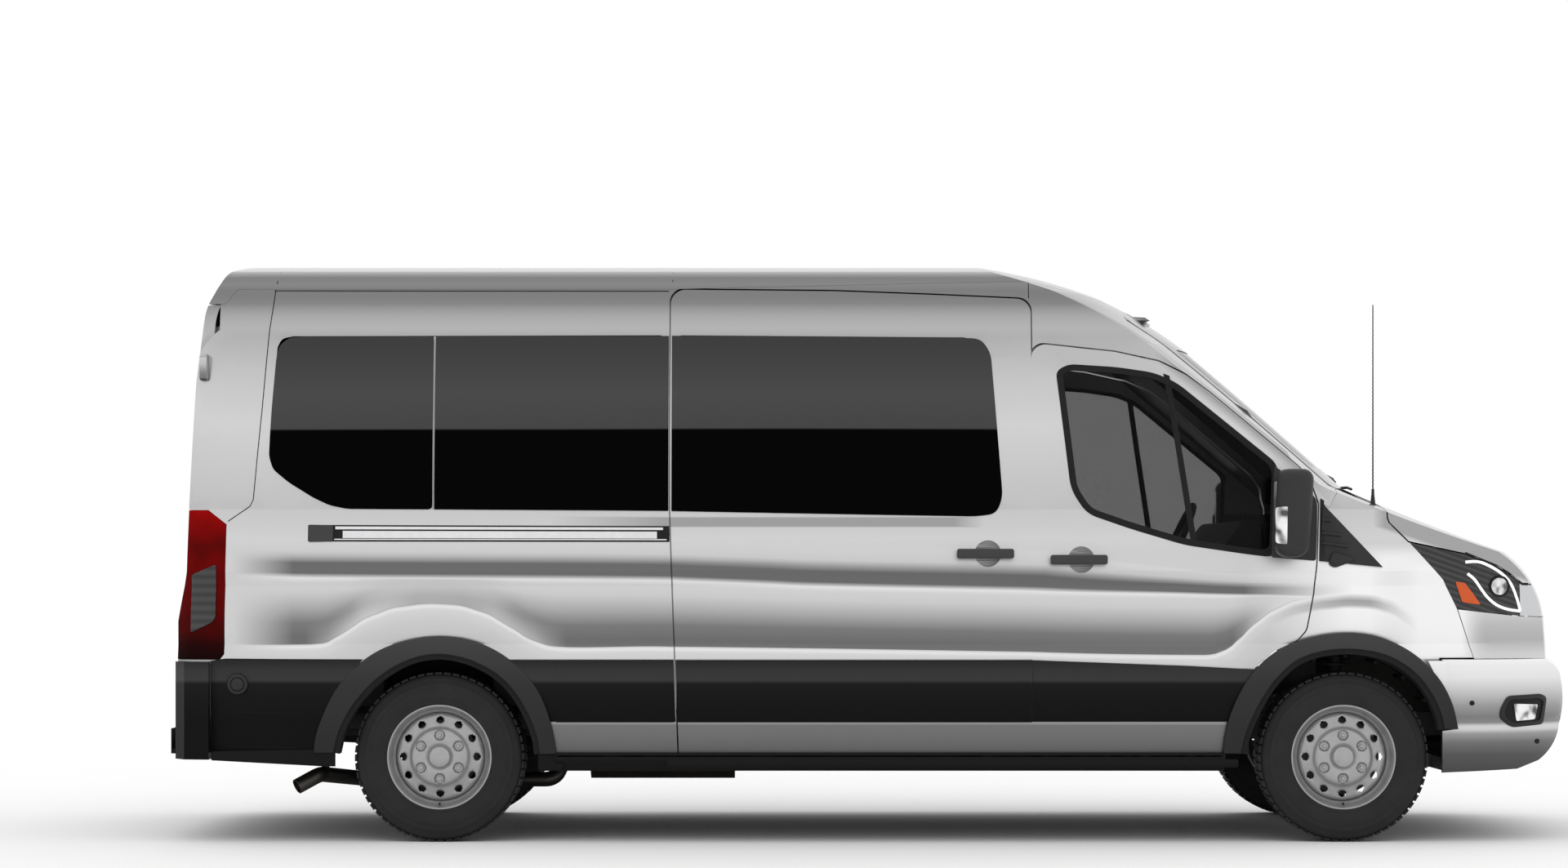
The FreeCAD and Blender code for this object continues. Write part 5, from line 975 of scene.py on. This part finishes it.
# Headlamps: a dark glossy housing, outlined by a white light guide, with a round
# projector and an amber side marker.
def laid_fine(name, outlines, thickness, side, **settings):
    """A small plate, cut finely enough to follow a lamp or the bumper's corner."""
    return laid(name, outlines, thickness, side, pitch=0.02, pitch_x=0.03, **settings)


lamp_dark = Finish("lamp_dark", (0.018, 0.018, 0.019), 0.16, specular_ior_level=0.35, coat_weight=0.25)
lamp_front_x = 2.690
ribs = (lamp_dark.z * 260.0 + lamp_dark.x * 90.0).wave() > 0.3
behind = ((lamp_dark.x - lamp_front_x) * 400.0).clamped()
ribbed = lamp_dark.blend(ribs, (0.014, 0.014, 0.015), (0.045, 0.045, 0.047))
lamp_dark.coloured(lamp_dark.blend(behind, ribbed, (0.60, 0.61, 0.62)))
lamp_dark.set(**{"Metallic": behind * 0.85, "Roughness": behind * 0.16 + 0.16})
dress("headlamps", lamp_dark)
guide_white = Finish("guide_white", (0.9, 0.9, 0.9), 0.25, emission_strength=0.35)
guide_white.set(**{"Emission Color": guide_white.blend(guide_white.noise(30.0), grey(0.9), grey(1.0))})
marker_amber = Finish("marker_amber", (0.62, 0.10, 0.01), 0.3, specular_ior_level=0.3)
dots = (marker_amber.x * 900.0).wave() * (marker_amber.z * 900.0).wave() > 0.1
marker_amber.coloured(marker_amber.blend(dots, (0.55, 0.060, 0.012), (0.80, 0.16, 0.03)))
projector = Finish("projector_glass", (0.30, 0.30, 0.31), 0.12, 0.6, specular_ior_level=0.6)
reflector_tones = ((0.3, 0.06), (0.45, 0.22), (0.55, 0.60), (0.7, 0.85))
projector.coloured(projector.ramp(projector.noise(26.0, 1.0), reflector_tones))
guide_high = ((2.450, 1.1610), (2.505, 1.1625), (2.556, 1.1440), (2.607, 1.1140), (2.650, 1.0720),
              (2.675, 1.0150), (2.692, 0.9560))
guide_low = ((2.692, 0.9560), (2.636, 0.9640), (2.585, 0.9830), (2.545, 1.0160), (2.518, 1.0520),
             (2.490, 1.0890), (2.459, 1.1130))
marker = ((2.408, 1.080), (2.449, 1.075), (2.480, 1.035), (2.517, 0.983), (2.437, 0.994))
lamp_top = ((2.450, 1.1980), (2.584, 1.1460), (2.641, 1.1135), (2.703, 1.0690), (2.84, 1.0670))
projector_x, projector_z = 2.600, 1.060
lamp_nodes = ("headlamps",)
for hand, side in hands:
    guides = [laid_fine("guide", [ribbon(curved(line, 3, False), 0.012)], 0.005, side,
                        lift=0.001, bevel=0.0015, nodes=lamp_nodes) for line in (guide_high, guide_low)]
    fitted(joined(guides, "light_guide_" + hand), guide_white)
    amber = laid_fine("amber_marker_" + hand, [rounded(marker, 0.008)], 0.005, side,
                      lift=0.001, bevel=0.001, nodes=lamp_nodes)
    fitted(amber, marker_amber)
    eye_glass = laid_fine("projector_" + hand, [disc(projector_x, projector_z, 0.037)], 0.006, side,
                          lift=0.001, bevel=0.0025, nodes=lamp_nodes)
    fitted(eye_glass, projector)
    # A black strip along the joint between the lamp and the hood, a painted shadow in the gap.
    shadow = laid_fine("lamp_joint_shadow_" + hand, [ribbon(lamp_top, 0.010)], 0.004, side,
                       nodes=lamp_nodes + ("hood",))
    fitted(shadow, track_black)
    ring = [disc(projector_x, projector_z, radius) for radius in (0.045, 0.036)]
    bezel = laid_fine("projector_ring_" + hand, ring, 0.008, side, lift=0.001, bevel=0.002, nodes=lamp_nodes)
    fitted(bezel, track_black)


# The front bumper carries a black pocket with a small fog lamp at each corner
# and two round parking sensors a side.
pocket = ((2.592, 0.549), (2.624, 0.606), (2.780, 0.612), (2.808, 0.596), (2.790, 0.484), (2.640, 0.474),
          (2.590, 0.514))
pocket_floor = ((2.610, 0.550), (2.632, 0.589), (2.768, 0.594), (2.790, 0.580), (2.772, 0.500), (2.648, 0.492),
                (2.610, 0.520))
fog_glass = ((2.650, 0.573), (2.764, 0.568), (2.750, 0.506), (2.662, 0.500))
bumper_nodes = ("front_bumper", "fog_lamps")
lamp_white = Finish("reflector_glass", (0.6, 0.6, 0.6), 0.1, 0.5, coat_weight=0.5)
facet_tones = ((0.30, 0.06), (0.40, 0.45), (0.48, 0.85), (0.65, 0.95))
lamp_white.coloured(lamp_white.ramp(lamp_white.noise(18.0, 1.0), facet_tones))
pocket_patch = ((2.795, 0.602), (2.905, 0.602), (2.905, 0.500), (2.785, 0.500))
bumper_wing = ((2.285, 0.752), (2.366, 0.752), (2.366, 0.600), (2.340, 0.640), (2.31, 0.70))
bumper_wing_y = 1.0135
sensor_places = ((2.469, 0.577), (2.762, 0.414))
for hand, side in hands:
    wing = moved_out(sheet("bumper_wing", [bumper_wing], 0.004, bevel=0.001), side * bumper_wing_y)
    patch = laid("pocket_side", [pocket_patch], 0.004, side, lift=0.001, nodes=bumper_nodes,
                 pitch=0.02, pitch_x=0.02)
    wing = joined([wing, patch], "bumper_wing_" + hand)
    fitted(wing, bumper_silver_painted_shade)
    edge, hole = rounded(pocket, 0.02), rounded(pocket_floor, 0.016)
    ring = laid_fine("fog_pocket_" + hand, [edge, hole], 0.014, side,
                     lift=0.002, bevel=0.004, nodes=bumper_nodes)
    fitted(ring, lip_black_painted_light)
    plate = laid_fine("fog_pocket_floor_" + hand, [hole], 0.003, side, lift=0.0005, nodes=bumper_nodes)
    fitted(plate, track_black)
    eyes = [laid_fine("sensor", [disc(x, z, 0.0105)], 0.006, side, lift=0.001, bevel=0.0015,
                      nodes=bumper_nodes) for x, z in sensor_places]
    fitted(joined(eyes, "parking_sensors_" + hand), track_black)
fogs = [laid_fine("fog_glass", [rounded(fog_glass, 0.008)], 0.010, side, lift=0.003, bevel=0.003,
                  nodes=bumper_nodes) for side in (-1, 1)]
fitted(joined(fogs, "fog_lamp_glasses"), lamp_white, replaces=["fog_lamps"])


# The black fittings of the front doors: a deep mirror housing on a short arm,
# with a lamp in its outer face and the glass on its rear, the band along the
# foot of the door, and the ribbed sail that carries the line on to the fender.
def span(side, inner, outer):
    """The two ends across the vehicle of a piece on one side, in rising order."""
    return sorted((side * inner, side * outer))


mirror_glass = Finish("mirror_glass", (0.75, 0.77, 0.78), 0.03, 1.0)
mirror_glass.bump(mirror_glass.noise(20.0), 0.01, 0.0002)
head_black = moulded("head_black", (0.030, 0.030, 0.031), 0.42, 900.0, 0.0003)
door_sail = ((1.652, 1.560), (1.760, 1.484), (1.800, 1.454), (1.826, 1.420), (1.830, 1.390), (1.8265, 1.280),
             (1.821, 1.166), (1.636, 1.180))
lamp_window = ((1.626, 1.385), (1.690, 1.390), (1.694, 1.245), (1.680, 1.232), (1.627, 1.238))
lamp_window_y = 1.2315
door_band = ((0.6475, 0.500), (0.6475, 0.755), (1.00, 0.742), (1.30, 0.731), (1.50, 0.720), (1.570, 0.718),
             (1.560, 0.706), (1.500, 0.612), (1.458, 0.510), (1.456, 0.500))
head_lean_z = 1.40
head_lean_height = 0.143
head_tuck_z = 1.26
head_tuck_height = 0.08
head_middle_x = 1.70
for hand, side in hands:
    body = "front_door_" + hand
    near, far = span(side, 1.085, 1.237)
    head = block("mirror_head", (1.626, near, 1.180), (1.781, far, 1.543), 0.048, 6)
    picked(head, lambda face: face.normal.x < -0.99 and face.area > 0.01)
    bpy.ops.mesh.inset(thickness=0.004)
    bpy.ops.transform.translate(value=(0.012, 0, 0))
    bpy.ops.object.mode_set(mode="OBJECT")
    for vertex in head.data.vertices:
        share = max(0.0, (vertex.co.z - head_lean_z) / head_lean_height)
        vertex.co.x += 0.012 * share
        low = max(0.0, (head_tuck_z - vertex.co.z) / head_tuck_height)
        vertex.co.x += 0.010 * low * (1 if vertex.co.x < head_middle_x else -2)
    near, far = span(side, 0.985, 1.12)
    arm = block("mirror_arm", (1.660, near, 1.192), (1.770, far, 1.262), 0.02, 4)
    sail = laid("mirror_foot", [rounded(door_sail, 0.012)], 0.010, side, lift=0.003, bevel=0.003,
                nodes=("front_door",))
    unit = smoothed(joined([head, arm, sail], "door_mirror_" + hand), 0.6)
    fitted(unit, head_black, body)
    band = laid("door_band_" + hand, [door_band], 0.010, side, lift=0.006, bevel=0.002, nodes=("front_door",))
    fitted(band, band_black_painted_shade, body, replaces=["front_door_trim_" + hand])
    lens = sheet("mirror_lamp_" + hand, [rounded(lamp_window, 0.014)], 0.010, bevel=0.003)
    fitted(smoothed(moved_out(lens, side * lamp_window_y)), lamp_white, body)
    near, far = span(side, 1.105, 1.217)
    glass = block("mirror_glass_" + hand, (1.633, near + 0.022, 1.232), (1.640, far - 0.022, 1.492), 0.002)
    fitted(glass, mirror_glass, body)
dress("mirror_sails", head_black)
sail_nodes = ("mirror_sails", "front_fenders")
sail_ribs = (((1.846, 1.338), (1.884, 1.334)), ((1.843, 1.282), (1.925, 1.272)),
             ((1.843, 1.240), (1.955, 1.226)))
sail_edge = ((1.8435, 1.424), (1.856, 1.416), (1.856, 1.165), (1.8345, 1.165))
sail_tip = ((1.886, 1.206), (1.990, 1.172), (1.900, 1.136), (1.872, 1.150))
for side in (-1, 1):
    strip = laid("sail_edge", [sail_edge], 0.008, side, lift=0.003, bevel=0.002, nodes=sail_nodes)
    ribs = [laid("sail_rib", [ribbon(line, 0.011)], 0.012, side, lift=0.006, bevel=0.004, nodes=sail_nodes)
            for line in sail_ribs]
    knob = laid("sail_knob", [rounded(sail_tip, 0.02)], 0.016, side, lift=0.006, bevel=0.006, nodes=sail_nodes)
    ribs = smoothed(joined(ribs + [knob, strip], "fender_sail_ribs"))
    fitted(ribs, head_black)


# Pressed steel wheels: a deep rim and a dished disc with twelve oval holes, six
# lug pockets with hexagon nuts, a round cap and a tyre valve.
disc_profile = ((0.0005, 0.1045), (0.020, 0.1040), (0.034, 0.1025), (0.041, 0.1000), (0.0445, 0.0950),
                (0.0460, 0.0890), (0.0475, 0.0870), (0.0520, 0.0885), (0.0560, 0.0920), (0.060, 0.0930),
                (0.064, 0.0932), (0.068, 0.0932), (0.072, 0.0932), (0.076, 0.0932), (0.080, 0.0930),
                (0.084, 0.0928), (0.088, 0.0926), (0.092, 0.0922), (0.096, 0.0918), (0.100, 0.0912),
                (0.104, 0.0905), (0.108, 0.0890), (0.112, 0.0870), (0.116, 0.0835), (0.120, 0.0780),
                (0.124, 0.0735), (0.128, 0.0705), (0.132, 0.0688), (0.136, 0.0675), (0.140, 0.0665),
                (0.144, 0.0655), (0.148, 0.0645), (0.152, 0.0636), (0.156, 0.0627), (0.160, 0.0618),
                (0.164, 0.0608), (0.168, 0.0596), (0.172, 0.0580), (0.176, 0.0550), (0.180, 0.0500),
                (0.184, 0.0440))
rim_profile = ((0.1845, 0.040), (0.1850, 0.050), (0.1880, 0.056), (0.1925, 0.0600), (0.1970, 0.0660),
               (0.2000, 0.0760), (0.2030, 0.0860), (0.2060, 0.0960), (0.2085, 0.1020), (0.2120, 0.1055),
               (0.2160, 0.1058), (0.2185, 0.1035), (0.2175, 0.0960), (0.2100, 0.0920), (0.2045, 0.0880),
               (0.2040, 0.050), (0.193, 0.040), (0.193, -0.020), (0.2040, -0.036), (0.2040, -0.090),
               (0.2175, -0.097), (0.2175, -0.106), (0.2100, -0.105), (0.1990, -0.094), (0.1970, -0.040),
               (0.1860, -0.024), (0.1845, 0.020), (0.1845, 0.040))
nut_profile = ((0.0, 0.1010), (0.006, 0.1010), (0.0095, 0.0985), (0.0095, 0.080))
wheel_steps = 144
wheel_wall = 0.005
hole_ring = 0.154
hole_half_long = 0.0175
hole_half_deep = 0.0150
hole_edge_depth = 0.0030
hole_cut = 0.985
hole_zone = (0.13, 0.18)
lug_zone = (0.06, 0.12)
lug_ring = 0.090
lug_count = 6
lug_pocket_radius = 0.0225
lug_pocket_wall = 0.005
lug_pocket_depth = 0.0085
valve_radius = 0.194


def nearest_turn(angle, count):
    """The nearest of the evenly spaced angles round the axle."""
    return round(angle / (2 * math.pi / count)) * 2 * math.pi / count


def from_hole(angle, radius):
    """The angle of the nearest oval hole, and how far off a place is as a part of the hole's size."""
    near = nearest_turn(angle, 2 * lug_count)
    return near, math.hypot((angle - near) * radius / hole_half_long, (radius - hole_ring) / hole_half_deep)


def pressed_disc(face, x, side):
    """Sinks the lug pockets into a plain disc and draws its mesh to the edges of the oval holes."""
    for vertex in face.data.vertices:
        across = vertex.co.x - x
        up = vertex.co.z - tyre_radius
        radius = math.hypot(across, up)
        angle = math.atan2(across, up)
        if lug_zone[0] < radius < lug_zone[1]:
            near = nearest_turn(angle, lug_count)
            gap = math.hypot(across - lug_ring * math.sin(near), up - lug_ring * math.cos(near))
            depth = min(1.0, max(0.0, (lug_pocket_radius - gap) / lug_pocket_wall))
            vertex.co.y -= side * lug_pocket_depth * depth
        elif hole_zone[0] < radius < hole_zone[1]:
            near, reach = from_hole(angle, radius)
            if 0.80 < reach < 1.22:
                along = (angle - near) * radius
                radius = hole_ring + (radius - hole_ring) / reach
                angle = near + along / reach / radius
                vertex.co.x = x + radius * math.sin(angle)
                vertex.co.z = tyre_radius + radius * math.cos(angle)
                vertex.co.y -= side * hole_edge_depth


def in_hole(part, x):
    """Whether a face of the disc lies in one of its oval holes."""
    across = part.center.x - x
    up = part.center.z - tyre_radius
    return from_hole(math.atan2(across, up), math.hypot(across, up))[1] < hole_cut


for end, x in axle_x.items():
    for hand, side in hands:
        body = "wheel_" + end + "_" + hand
        centre = (x, side * half_track, tyre_radius)
        face = spun("wheel_disc", disc_profile, centre, side, wheel_steps)
        pressed_disc(face, x, side)
        picked(face, lambda part: in_hole(part, x))
        bpy.ops.mesh.delete(type="FACE")
        bpy.ops.mesh.select_all(action="SELECT")
        bpy.ops.mesh.select_mode(type="VERT")
        bpy.ops.mesh.remove_doubles(threshold=0.0004)
        bpy.ops.object.mode_set(mode="OBJECT")
        wall = face.modifiers.new("wall", "SOLIDIFY")
        wall.thickness = wheel_wall
        wall.offset = -1.0
        bpy.ops.object.modifier_apply(modifier="wall")
        rim = spun("wheel_rim", rim_profile, centre, side, wheel_steps)
        nut = spun("lug_nut", nut_profile, (x, side * half_track, tyre_radius + lug_ring), side, 6)
        nuts = ring_of(nut, centre, lug_count, "lug_nuts")
        low, high = span(side, half_track + 0.080, half_track + 0.108)
        valve = block("valve", (x - 0.004, low, tyre_radius - valve_radius - 0.004),
                      (x + 0.004, high, tyre_radius - valve_radius + 0.004), 0.003)
        made = joined([face, rim, nuts], body + "_steel")
        fitted(smoothed(made, 0.5), wheel_silver, body, replaces=[body])
        fitted(valve, rubber_black, body)


# Black strips laid on the panel seams that the light doesn't find by itself, painted
# shade in real joints and grooves: the gutter joints, the rear corner joint and the
# grooves of the rear cladding, with the round plug in it.
seam_black_painted_shade = moulded("seam_black_painted_shade", (0.006, 0.006, 0.006), 0.8, 600.0, 0.0001)
seams = ((0.003, ((-2.505, 2.293), (-0.860, 2.2915))),
         (0.003, ((-0.845, 2.300), (-0.845, 2.372))),
         (0.003, ((0.640, 2.262), (0.640, 2.360))),
         (0.003, ((-2.490, 2.375), (-2.522, 2.12), (-2.545, 1.80), (-2.566, 1.56), (-2.578, 1.42),
                  (-2.592, 1.392), (-2.683, 1.330))),
         (0.005, ((-2.64, 0.541), (-2.36, 0.534))),
         (0.004, ((-2.64, 0.398), (-2.40, 0.393))))
seam_nodes = flank_nodes + ("side_cladding",)
plug_profile = ((0.001, 1.038), (0.018, 1.038), (0.024, 1.0375), (0.0255, 1.032), (0.0270, 1.032),
                (0.031, 1.036), (0.040, 1.035), (0.044, 1.028))
plug_place = (-2.638, 0.0, 0.656)
for side in (-1, 1):
    strips = [laid("seam", [ribbon(line, width)], 0.002, side, lift=0.0012, nodes=seam_nodes)
              for width, line in seams]
    fitted(joined(strips, "panel_seams"), seam_black_painted_shade)
    plug = spun("cap_ring", plug_profile, plug_place, side, 32)
    fitted(smoothed(plug), lip_black_painted_light)


# Black running boards stand out under the doors: a deep rounded edge, a thin lip
# above it, and a short end piece against the rear arch.
for side in (-1, 1):
    low, high = span(side, 1.000, 1.0365)
    rail = block("step_rail", (-0.869, low, 0.312), (1.500, high, 0.348), 0.010)
    low, high = span(side, 1.000, 1.034)
    edge = block("step_edge", (-1.325, low, 0.352), (1.438, high, 0.366), 0.004)
    low, high = span(side, 0.985, 1.020)
    stub = block("sill_end", (-1.398, low, 0.297), (-1.290, high, 0.372), 0.008)
    fitted(joined([rail, edge, stub], "running_board"), step_black)


# The rear doors hang on hinges at their outer edges and open by a pull handle;
# a black panel closes the space behind the bumper.
# The hinges take the body paint with its painted shade and highlights.
hinge_steel_painted_shade = silver_with_painted_shade("hinge_steel_painted_shade", 0.9, 0.35)
for side in (-1, 1):
    low, high = span(side, 0.888, 0.935)
    upper = block("hinge", (-2.812, low, 1.915), (-2.770, high, 2.025), 0.012)
    lower = block("hinge", (-2.905, low, 0.612), (-2.862, high, 0.700), 0.012)
    fitted(joined([upper, lower], "rear_hinges"), hinge_steel_painted_shade)
grip = block("grip", (-2.940, -0.165, 1.120), (-2.915, -0.035, 1.165), 0.010)
mount = block("grip_mount", (-2.925, -0.180, 1.100), (-2.890, -0.020, 1.185), 0.010)
fitted(smoothed(joined([grip, mount], "rear_door_handle")), lip_black_painted_light, "rear_door_right")
valance = block("rear_valance", (-2.862, -0.872, 0.425), (-2.815, 0.872, 0.624), 0.012)
fitted(valance, band_black_painted_shade)


# Behind the grille stands the dark core of the radiator, so that no daylight
# shows through its openings.
core = block("radiator_core", (2.655, -0.56, 0.60), (2.695, 0.56, 1.03), 0.005)
fitted(core, liner_black)


# The number plate on the left rear door is a blank white sheet with nothing
# printed or pressed into it.
plate_white = Finish("plate_white", (0.75, 0.75, 0.74), 0.35)
plate_white.bump(plate_white.noise(300.0), 0.05, 0.0002)
plate = block("blank_number_plate", (-2.916, 0.19, 0.905), (-2.898, 0.71, 1.015), 0.004)
fitted(plate, plate_white, "rear_door_left")


# Stiffening ribs cross the inside of the four wheel housings, set out like a fan
# round the axle.
rib_degrees = (-52, -34, -16, 2, 20, 38, 56)
hoops = []
for side in (-1, 1):
    low, high = span(side, 0.66, 0.915)
    for x in axle_x.values():
        for degrees in rib_degrees:
            turn = Matrix.Rotation(math.radians(degrees), 4, "Y")
            bar = block("rib", (-0.009, low, 0.411), (0.009, high, 0.424), 0.003)
            bar.data.transform(Matrix.Translation((x, 0, tyre_radius)) @ turn)
            hoops.append(bar)
fitted(joined(hoops, "wheel_housing_ribs"), liner_black)


# The aerial on the right: a springy rod wound with a thin wire, on a black rubber
# cone.
whip_x = 2.081
whip_y = -0.842
whip_z = 1.466
coil_foot_z = 1.47
coil_height = 0.755
mast_profile = ((0.0005, 0.77), (0.0022, 0.77), (0.0030, 0.0), (0.0060, 0.0), (0.0062, -0.02),
                (0.0125, -0.075), (0.0170, -0.098), (0.0005, -0.098))
mast = spun("mast", mast_profile, (0, 0, 0), 1, 16)
mast.data.transform(Matrix.Translation((whip_x, whip_y, whip_z)) @ Matrix.Rotation(math.pi / 2, 4, "X"))
coil_steps = 46 * 8
wound = []
for step in range(coil_steps + 1):
    a = step * math.pi / 4
    share = step / coil_steps
    radius = 0.0036 - 0.0010 * share
    height = coil_foot_z + coil_height * share
    wound.append((whip_x + radius * math.cos(a), whip_y + radius * math.sin(a), height))
coil = drawn("coil", [wound])
coil.data.dimensions = "3D"
coil.data.bevel_depth = 0.0008
coil.data.bevel_resolution = 0
bpy.ops.object.convert(target="MESH")
fitted(joined([mast, coil], "aerial"), head_black, replaces=["antenna"])


# Two wiper arms lie across the foot of the windscreen with their blades on the
# glass.
def top_z(x, y, nodes):
    """The height of the named parts at a place seen from above."""
    heights = [0.0]
    for node in nodes:
        hit = skin(node).ray_cast(Vector((x, y, 3.0)), Vector((0, 0, -1)))[0]
        if hit is not None:
            heights.append(hit.z)
    return max(heights)


def rod(name, points, radius):
    """A bar bent along a line."""
    piece = drawn(name, [points])
    piece.data.dimensions = "3D"
    piece.data.bevel_depth = radius
    piece.data.bevel_resolution = 2
    piece.data.use_fill_caps = True
    bpy.ops.object.convert(target="MESH")
    return smoothed(piece, 0.8)


glass_nodes = ("windscreen", "cowl_panel", "hood")


def resting(places, lift):
    """A line laid a little above the glass, keeping its height where it crosses a gap."""
    line = []
    height = 0.0
    for x, y in places:
        found = top_z(x, y, glass_nodes)
        height = found if found > 1.2 else max(height, 1.44)
        line.append((x, y, height + lift))
    return line


arms = []
for foot_y in (-0.52, 0.10):
    arm_places = [(2.035 - 0.055 * step / 8, foot_y + 0.52 * step / 8) for step in range(9)]
    blade_places = [(2.010 - 0.045 * step / 10, foot_y + 0.18 + 0.48 * step / 10) for step in range(11)]
    arms += [rod("wiper_arm", resting(arm_places, 0.016), 0.006),
             rod("wiper_blade", resting(blade_places, 0.008), 0.007)]
fitted(joined(arms, "wiper_arms"), head_black, replaces=["wipers"])


# The windscreen is bonded in behind a black printed border that hides its glue
# line and the edge of the roof.
def facing(y, z, nodes):
    """How far forward the named parts reach at a place in the front view."""
    for spread in search_steps:
        reach = -3.0
        for dy, dz in around(spread):
            for node in nodes:
                hit = skin(node).ray_cast(Vector((4.0, y + dy, z + dz)), Vector((-1, 0, 0)))[0]
                if hit is not None:
                    reach = max(reach, hit.x)
        if reach > -3.0:
            return reach
    return 2.0


screen_nodes = ("windscreen", "roof_panel", "side_body_right", "side_body_left")
border_outer = ((-0.826, 1.470), (0.826, 1.470), (0.712, 2.185), (0.600, 2.208), (0.440, 2.232), (0.220, 2.244),
                (-0.220, 2.244), (-0.440, 2.232), (-0.600, 2.208), (-0.712, 2.185))
border_inner = ((-0.765, 1.560), (0.765, 1.560), (0.668, 2.060), (-0.668, 2.060))
border = sheet("windscreen_border", [rounded(border_outer, 0.05), rounded(border_inner, 0.06)], 0.004)
sliced(sliced(border, 2, 0.03), 0, 0.05)
for vertex in border.data.vertices:
    across, deep, up = vertex.co
    vertex.co = (facing(across, up, screen_nodes) + deep + 0.002, across, up)
fitted(welded(border, 0.6), gloss_black)
seal_line = [(facing(y / 100, 1.478, screen_nodes) - 0.004, y / 100, 1.468) for y in range(-81, 82, 9)]
fitted(rod("cowl_seal", seal_line, 0.012), rubber_black)


# Cloth seats: two in the cab and four rows behind, each row a double bench on
# the left and a single on the right, on black steel frames.
seat_cloth = Finish("seat_cloth", (0.035, 0.036, 0.038), 0.9, specular_ior_level=0.1, sheen_weight=0.3)
weave = (seat_cloth.x * 2200.0).wave() * (seat_cloth.z * 2200.0 + seat_cloth.y * 2200.0).wave()
seat_cloth.bump(weave * 0.5 + 0.5, 0.25, 0.0005)
seat_cloth.mottled(60.0, 3.0, (0.028, 0.029, 0.031), (0.050, 0.051, 0.054))
frame_black = moulded("frame_black", (0.014, 0.014, 0.014), 0.5, 300.0, 0.0002)
pad_power = 5.0
seat_width = 0.47
seat_low = 0.735
raised_seat_low = 0.800
raised_row_x = -1.66
row_places = (-0.06, -0.86, raised_row_x, -2.46)


def pad(name, low, high, lean=0.0):
    """A stuffed pad: a block drawn out to a crowned form whose sides pull in to its corners."""
    bpy.ops.object.select_all(action="DESELECT")
    bpy.ops.mesh.primitive_cube_add(size=2.0, location=(0, 0, 0))
    piece = bpy.context.object
    piece.name = name
    bpy.ops.object.mode_set(mode="EDIT")
    bpy.ops.mesh.select_all(action="SELECT")
    bpy.ops.mesh.subdivide(number_cuts=9)
    bpy.ops.object.mode_set(mode="OBJECT")
    middle = [(a + b) / 2 for a, b in zip(low, high)]
    half = [(b - a) / 2 for a, b in zip(low, high)]
    for vertex in piece.data.vertices:
        size = sum(abs(c) ** pad_power for c in vertex.co) ** (1 / pad_power)
        place = [m + h * c / size for m, h, c in zip(middle, half, vertex.co)]
        channel = 0.006 * math.exp(-((abs(vertex.co.y) - 0.55) / 0.06) ** 2)
        place[2] -= channel if vertex.co.z > 0.9 else 0.0
        place[0] -= channel if vertex.co.x > 0.9 else 0.0
        place[0] -= lean * (place[2] - low[2]) / (high[2] - low[2])
        vertex.co = place
    return smoothed(piece, 1.2)


def seat(x, y, low):
    """The pads and the frame of one seat facing forward."""
    near, far = y - seat_width / 2 + 0.006, y + seat_width / 2 - 0.006
    pads = [pad("seat_cushion", (x + 0.005, near, low), (x + 0.478, far, 0.862)),
            pad("seat_back", (x - 0.045, near, 0.842), (x + 0.065, far, 1.468), 0.088),
            pad("head_rest", (x - 0.122, y - 0.122, 1.478), (x - 0.035, y + 0.122, 1.638))]
    frame_parts = [block("seat_frame", (x + 0.06, near + 0.05, 0.557), (x + 0.41, far - 0.05, low + 0.012),
                         0.01),
                   block("head_rest_posts", (x - 0.092, y - 0.05, 1.44), (x - 0.078, y + 0.05, 1.50), 0.004)]
    return pads, frame_parts


rows = {"front": [(0.85, y, seat_low) for y in (-0.48, 0.48)], "rear": []}
for x in row_places:
    low = raised_seat_low if x == raised_row_x else seat_low
    rows["rear"] += [(x, y, low) for y in (-0.6367, 0.1675, 0.6375)]
for name, places in rows.items():
    pads, frames = [], []
    for place in places:
        soft, hard = seat(*place)
        pads += soft
        frames += hard
    padding = joined(pads, name + "_seat_padding")
    fitted(padding, seat_cloth, replaces=[name + "_seats"])
    fitted(joined(frames, name + "_seat_frames"), frame_black)


# The exhaust hangs under the floor on flat rubber straps, each from the crest of
# the pipe straight up to the metal above it.
strap_places = (1.20, 0.30, -0.90, -2.05, -2.30)
for x in strap_places:
    crest = None
    for step in range(120):
        hit = skin("exhaust").ray_cast(Vector((x, -step * 0.008, 0.9)), Vector((0, 0, -1)))[0]
        if hit is not None and (crest is None or hit.z > crest.z + 0.0005):
            crest = hit
    if crest is None:
        continue
    above = skin("floor_pan").ray_cast(crest + Vector((0, 0, 0.002)), Vector((0, 0, 1)))[0]
    if above is None:
        continue
    strap = block("exhaust_strap", (x - 0.016, crest.y - 0.005, crest.z - 0.006),
                  (x + 0.016, crest.y + 0.005, above.z), 0.002)
    fitted(strap, rubber_black)
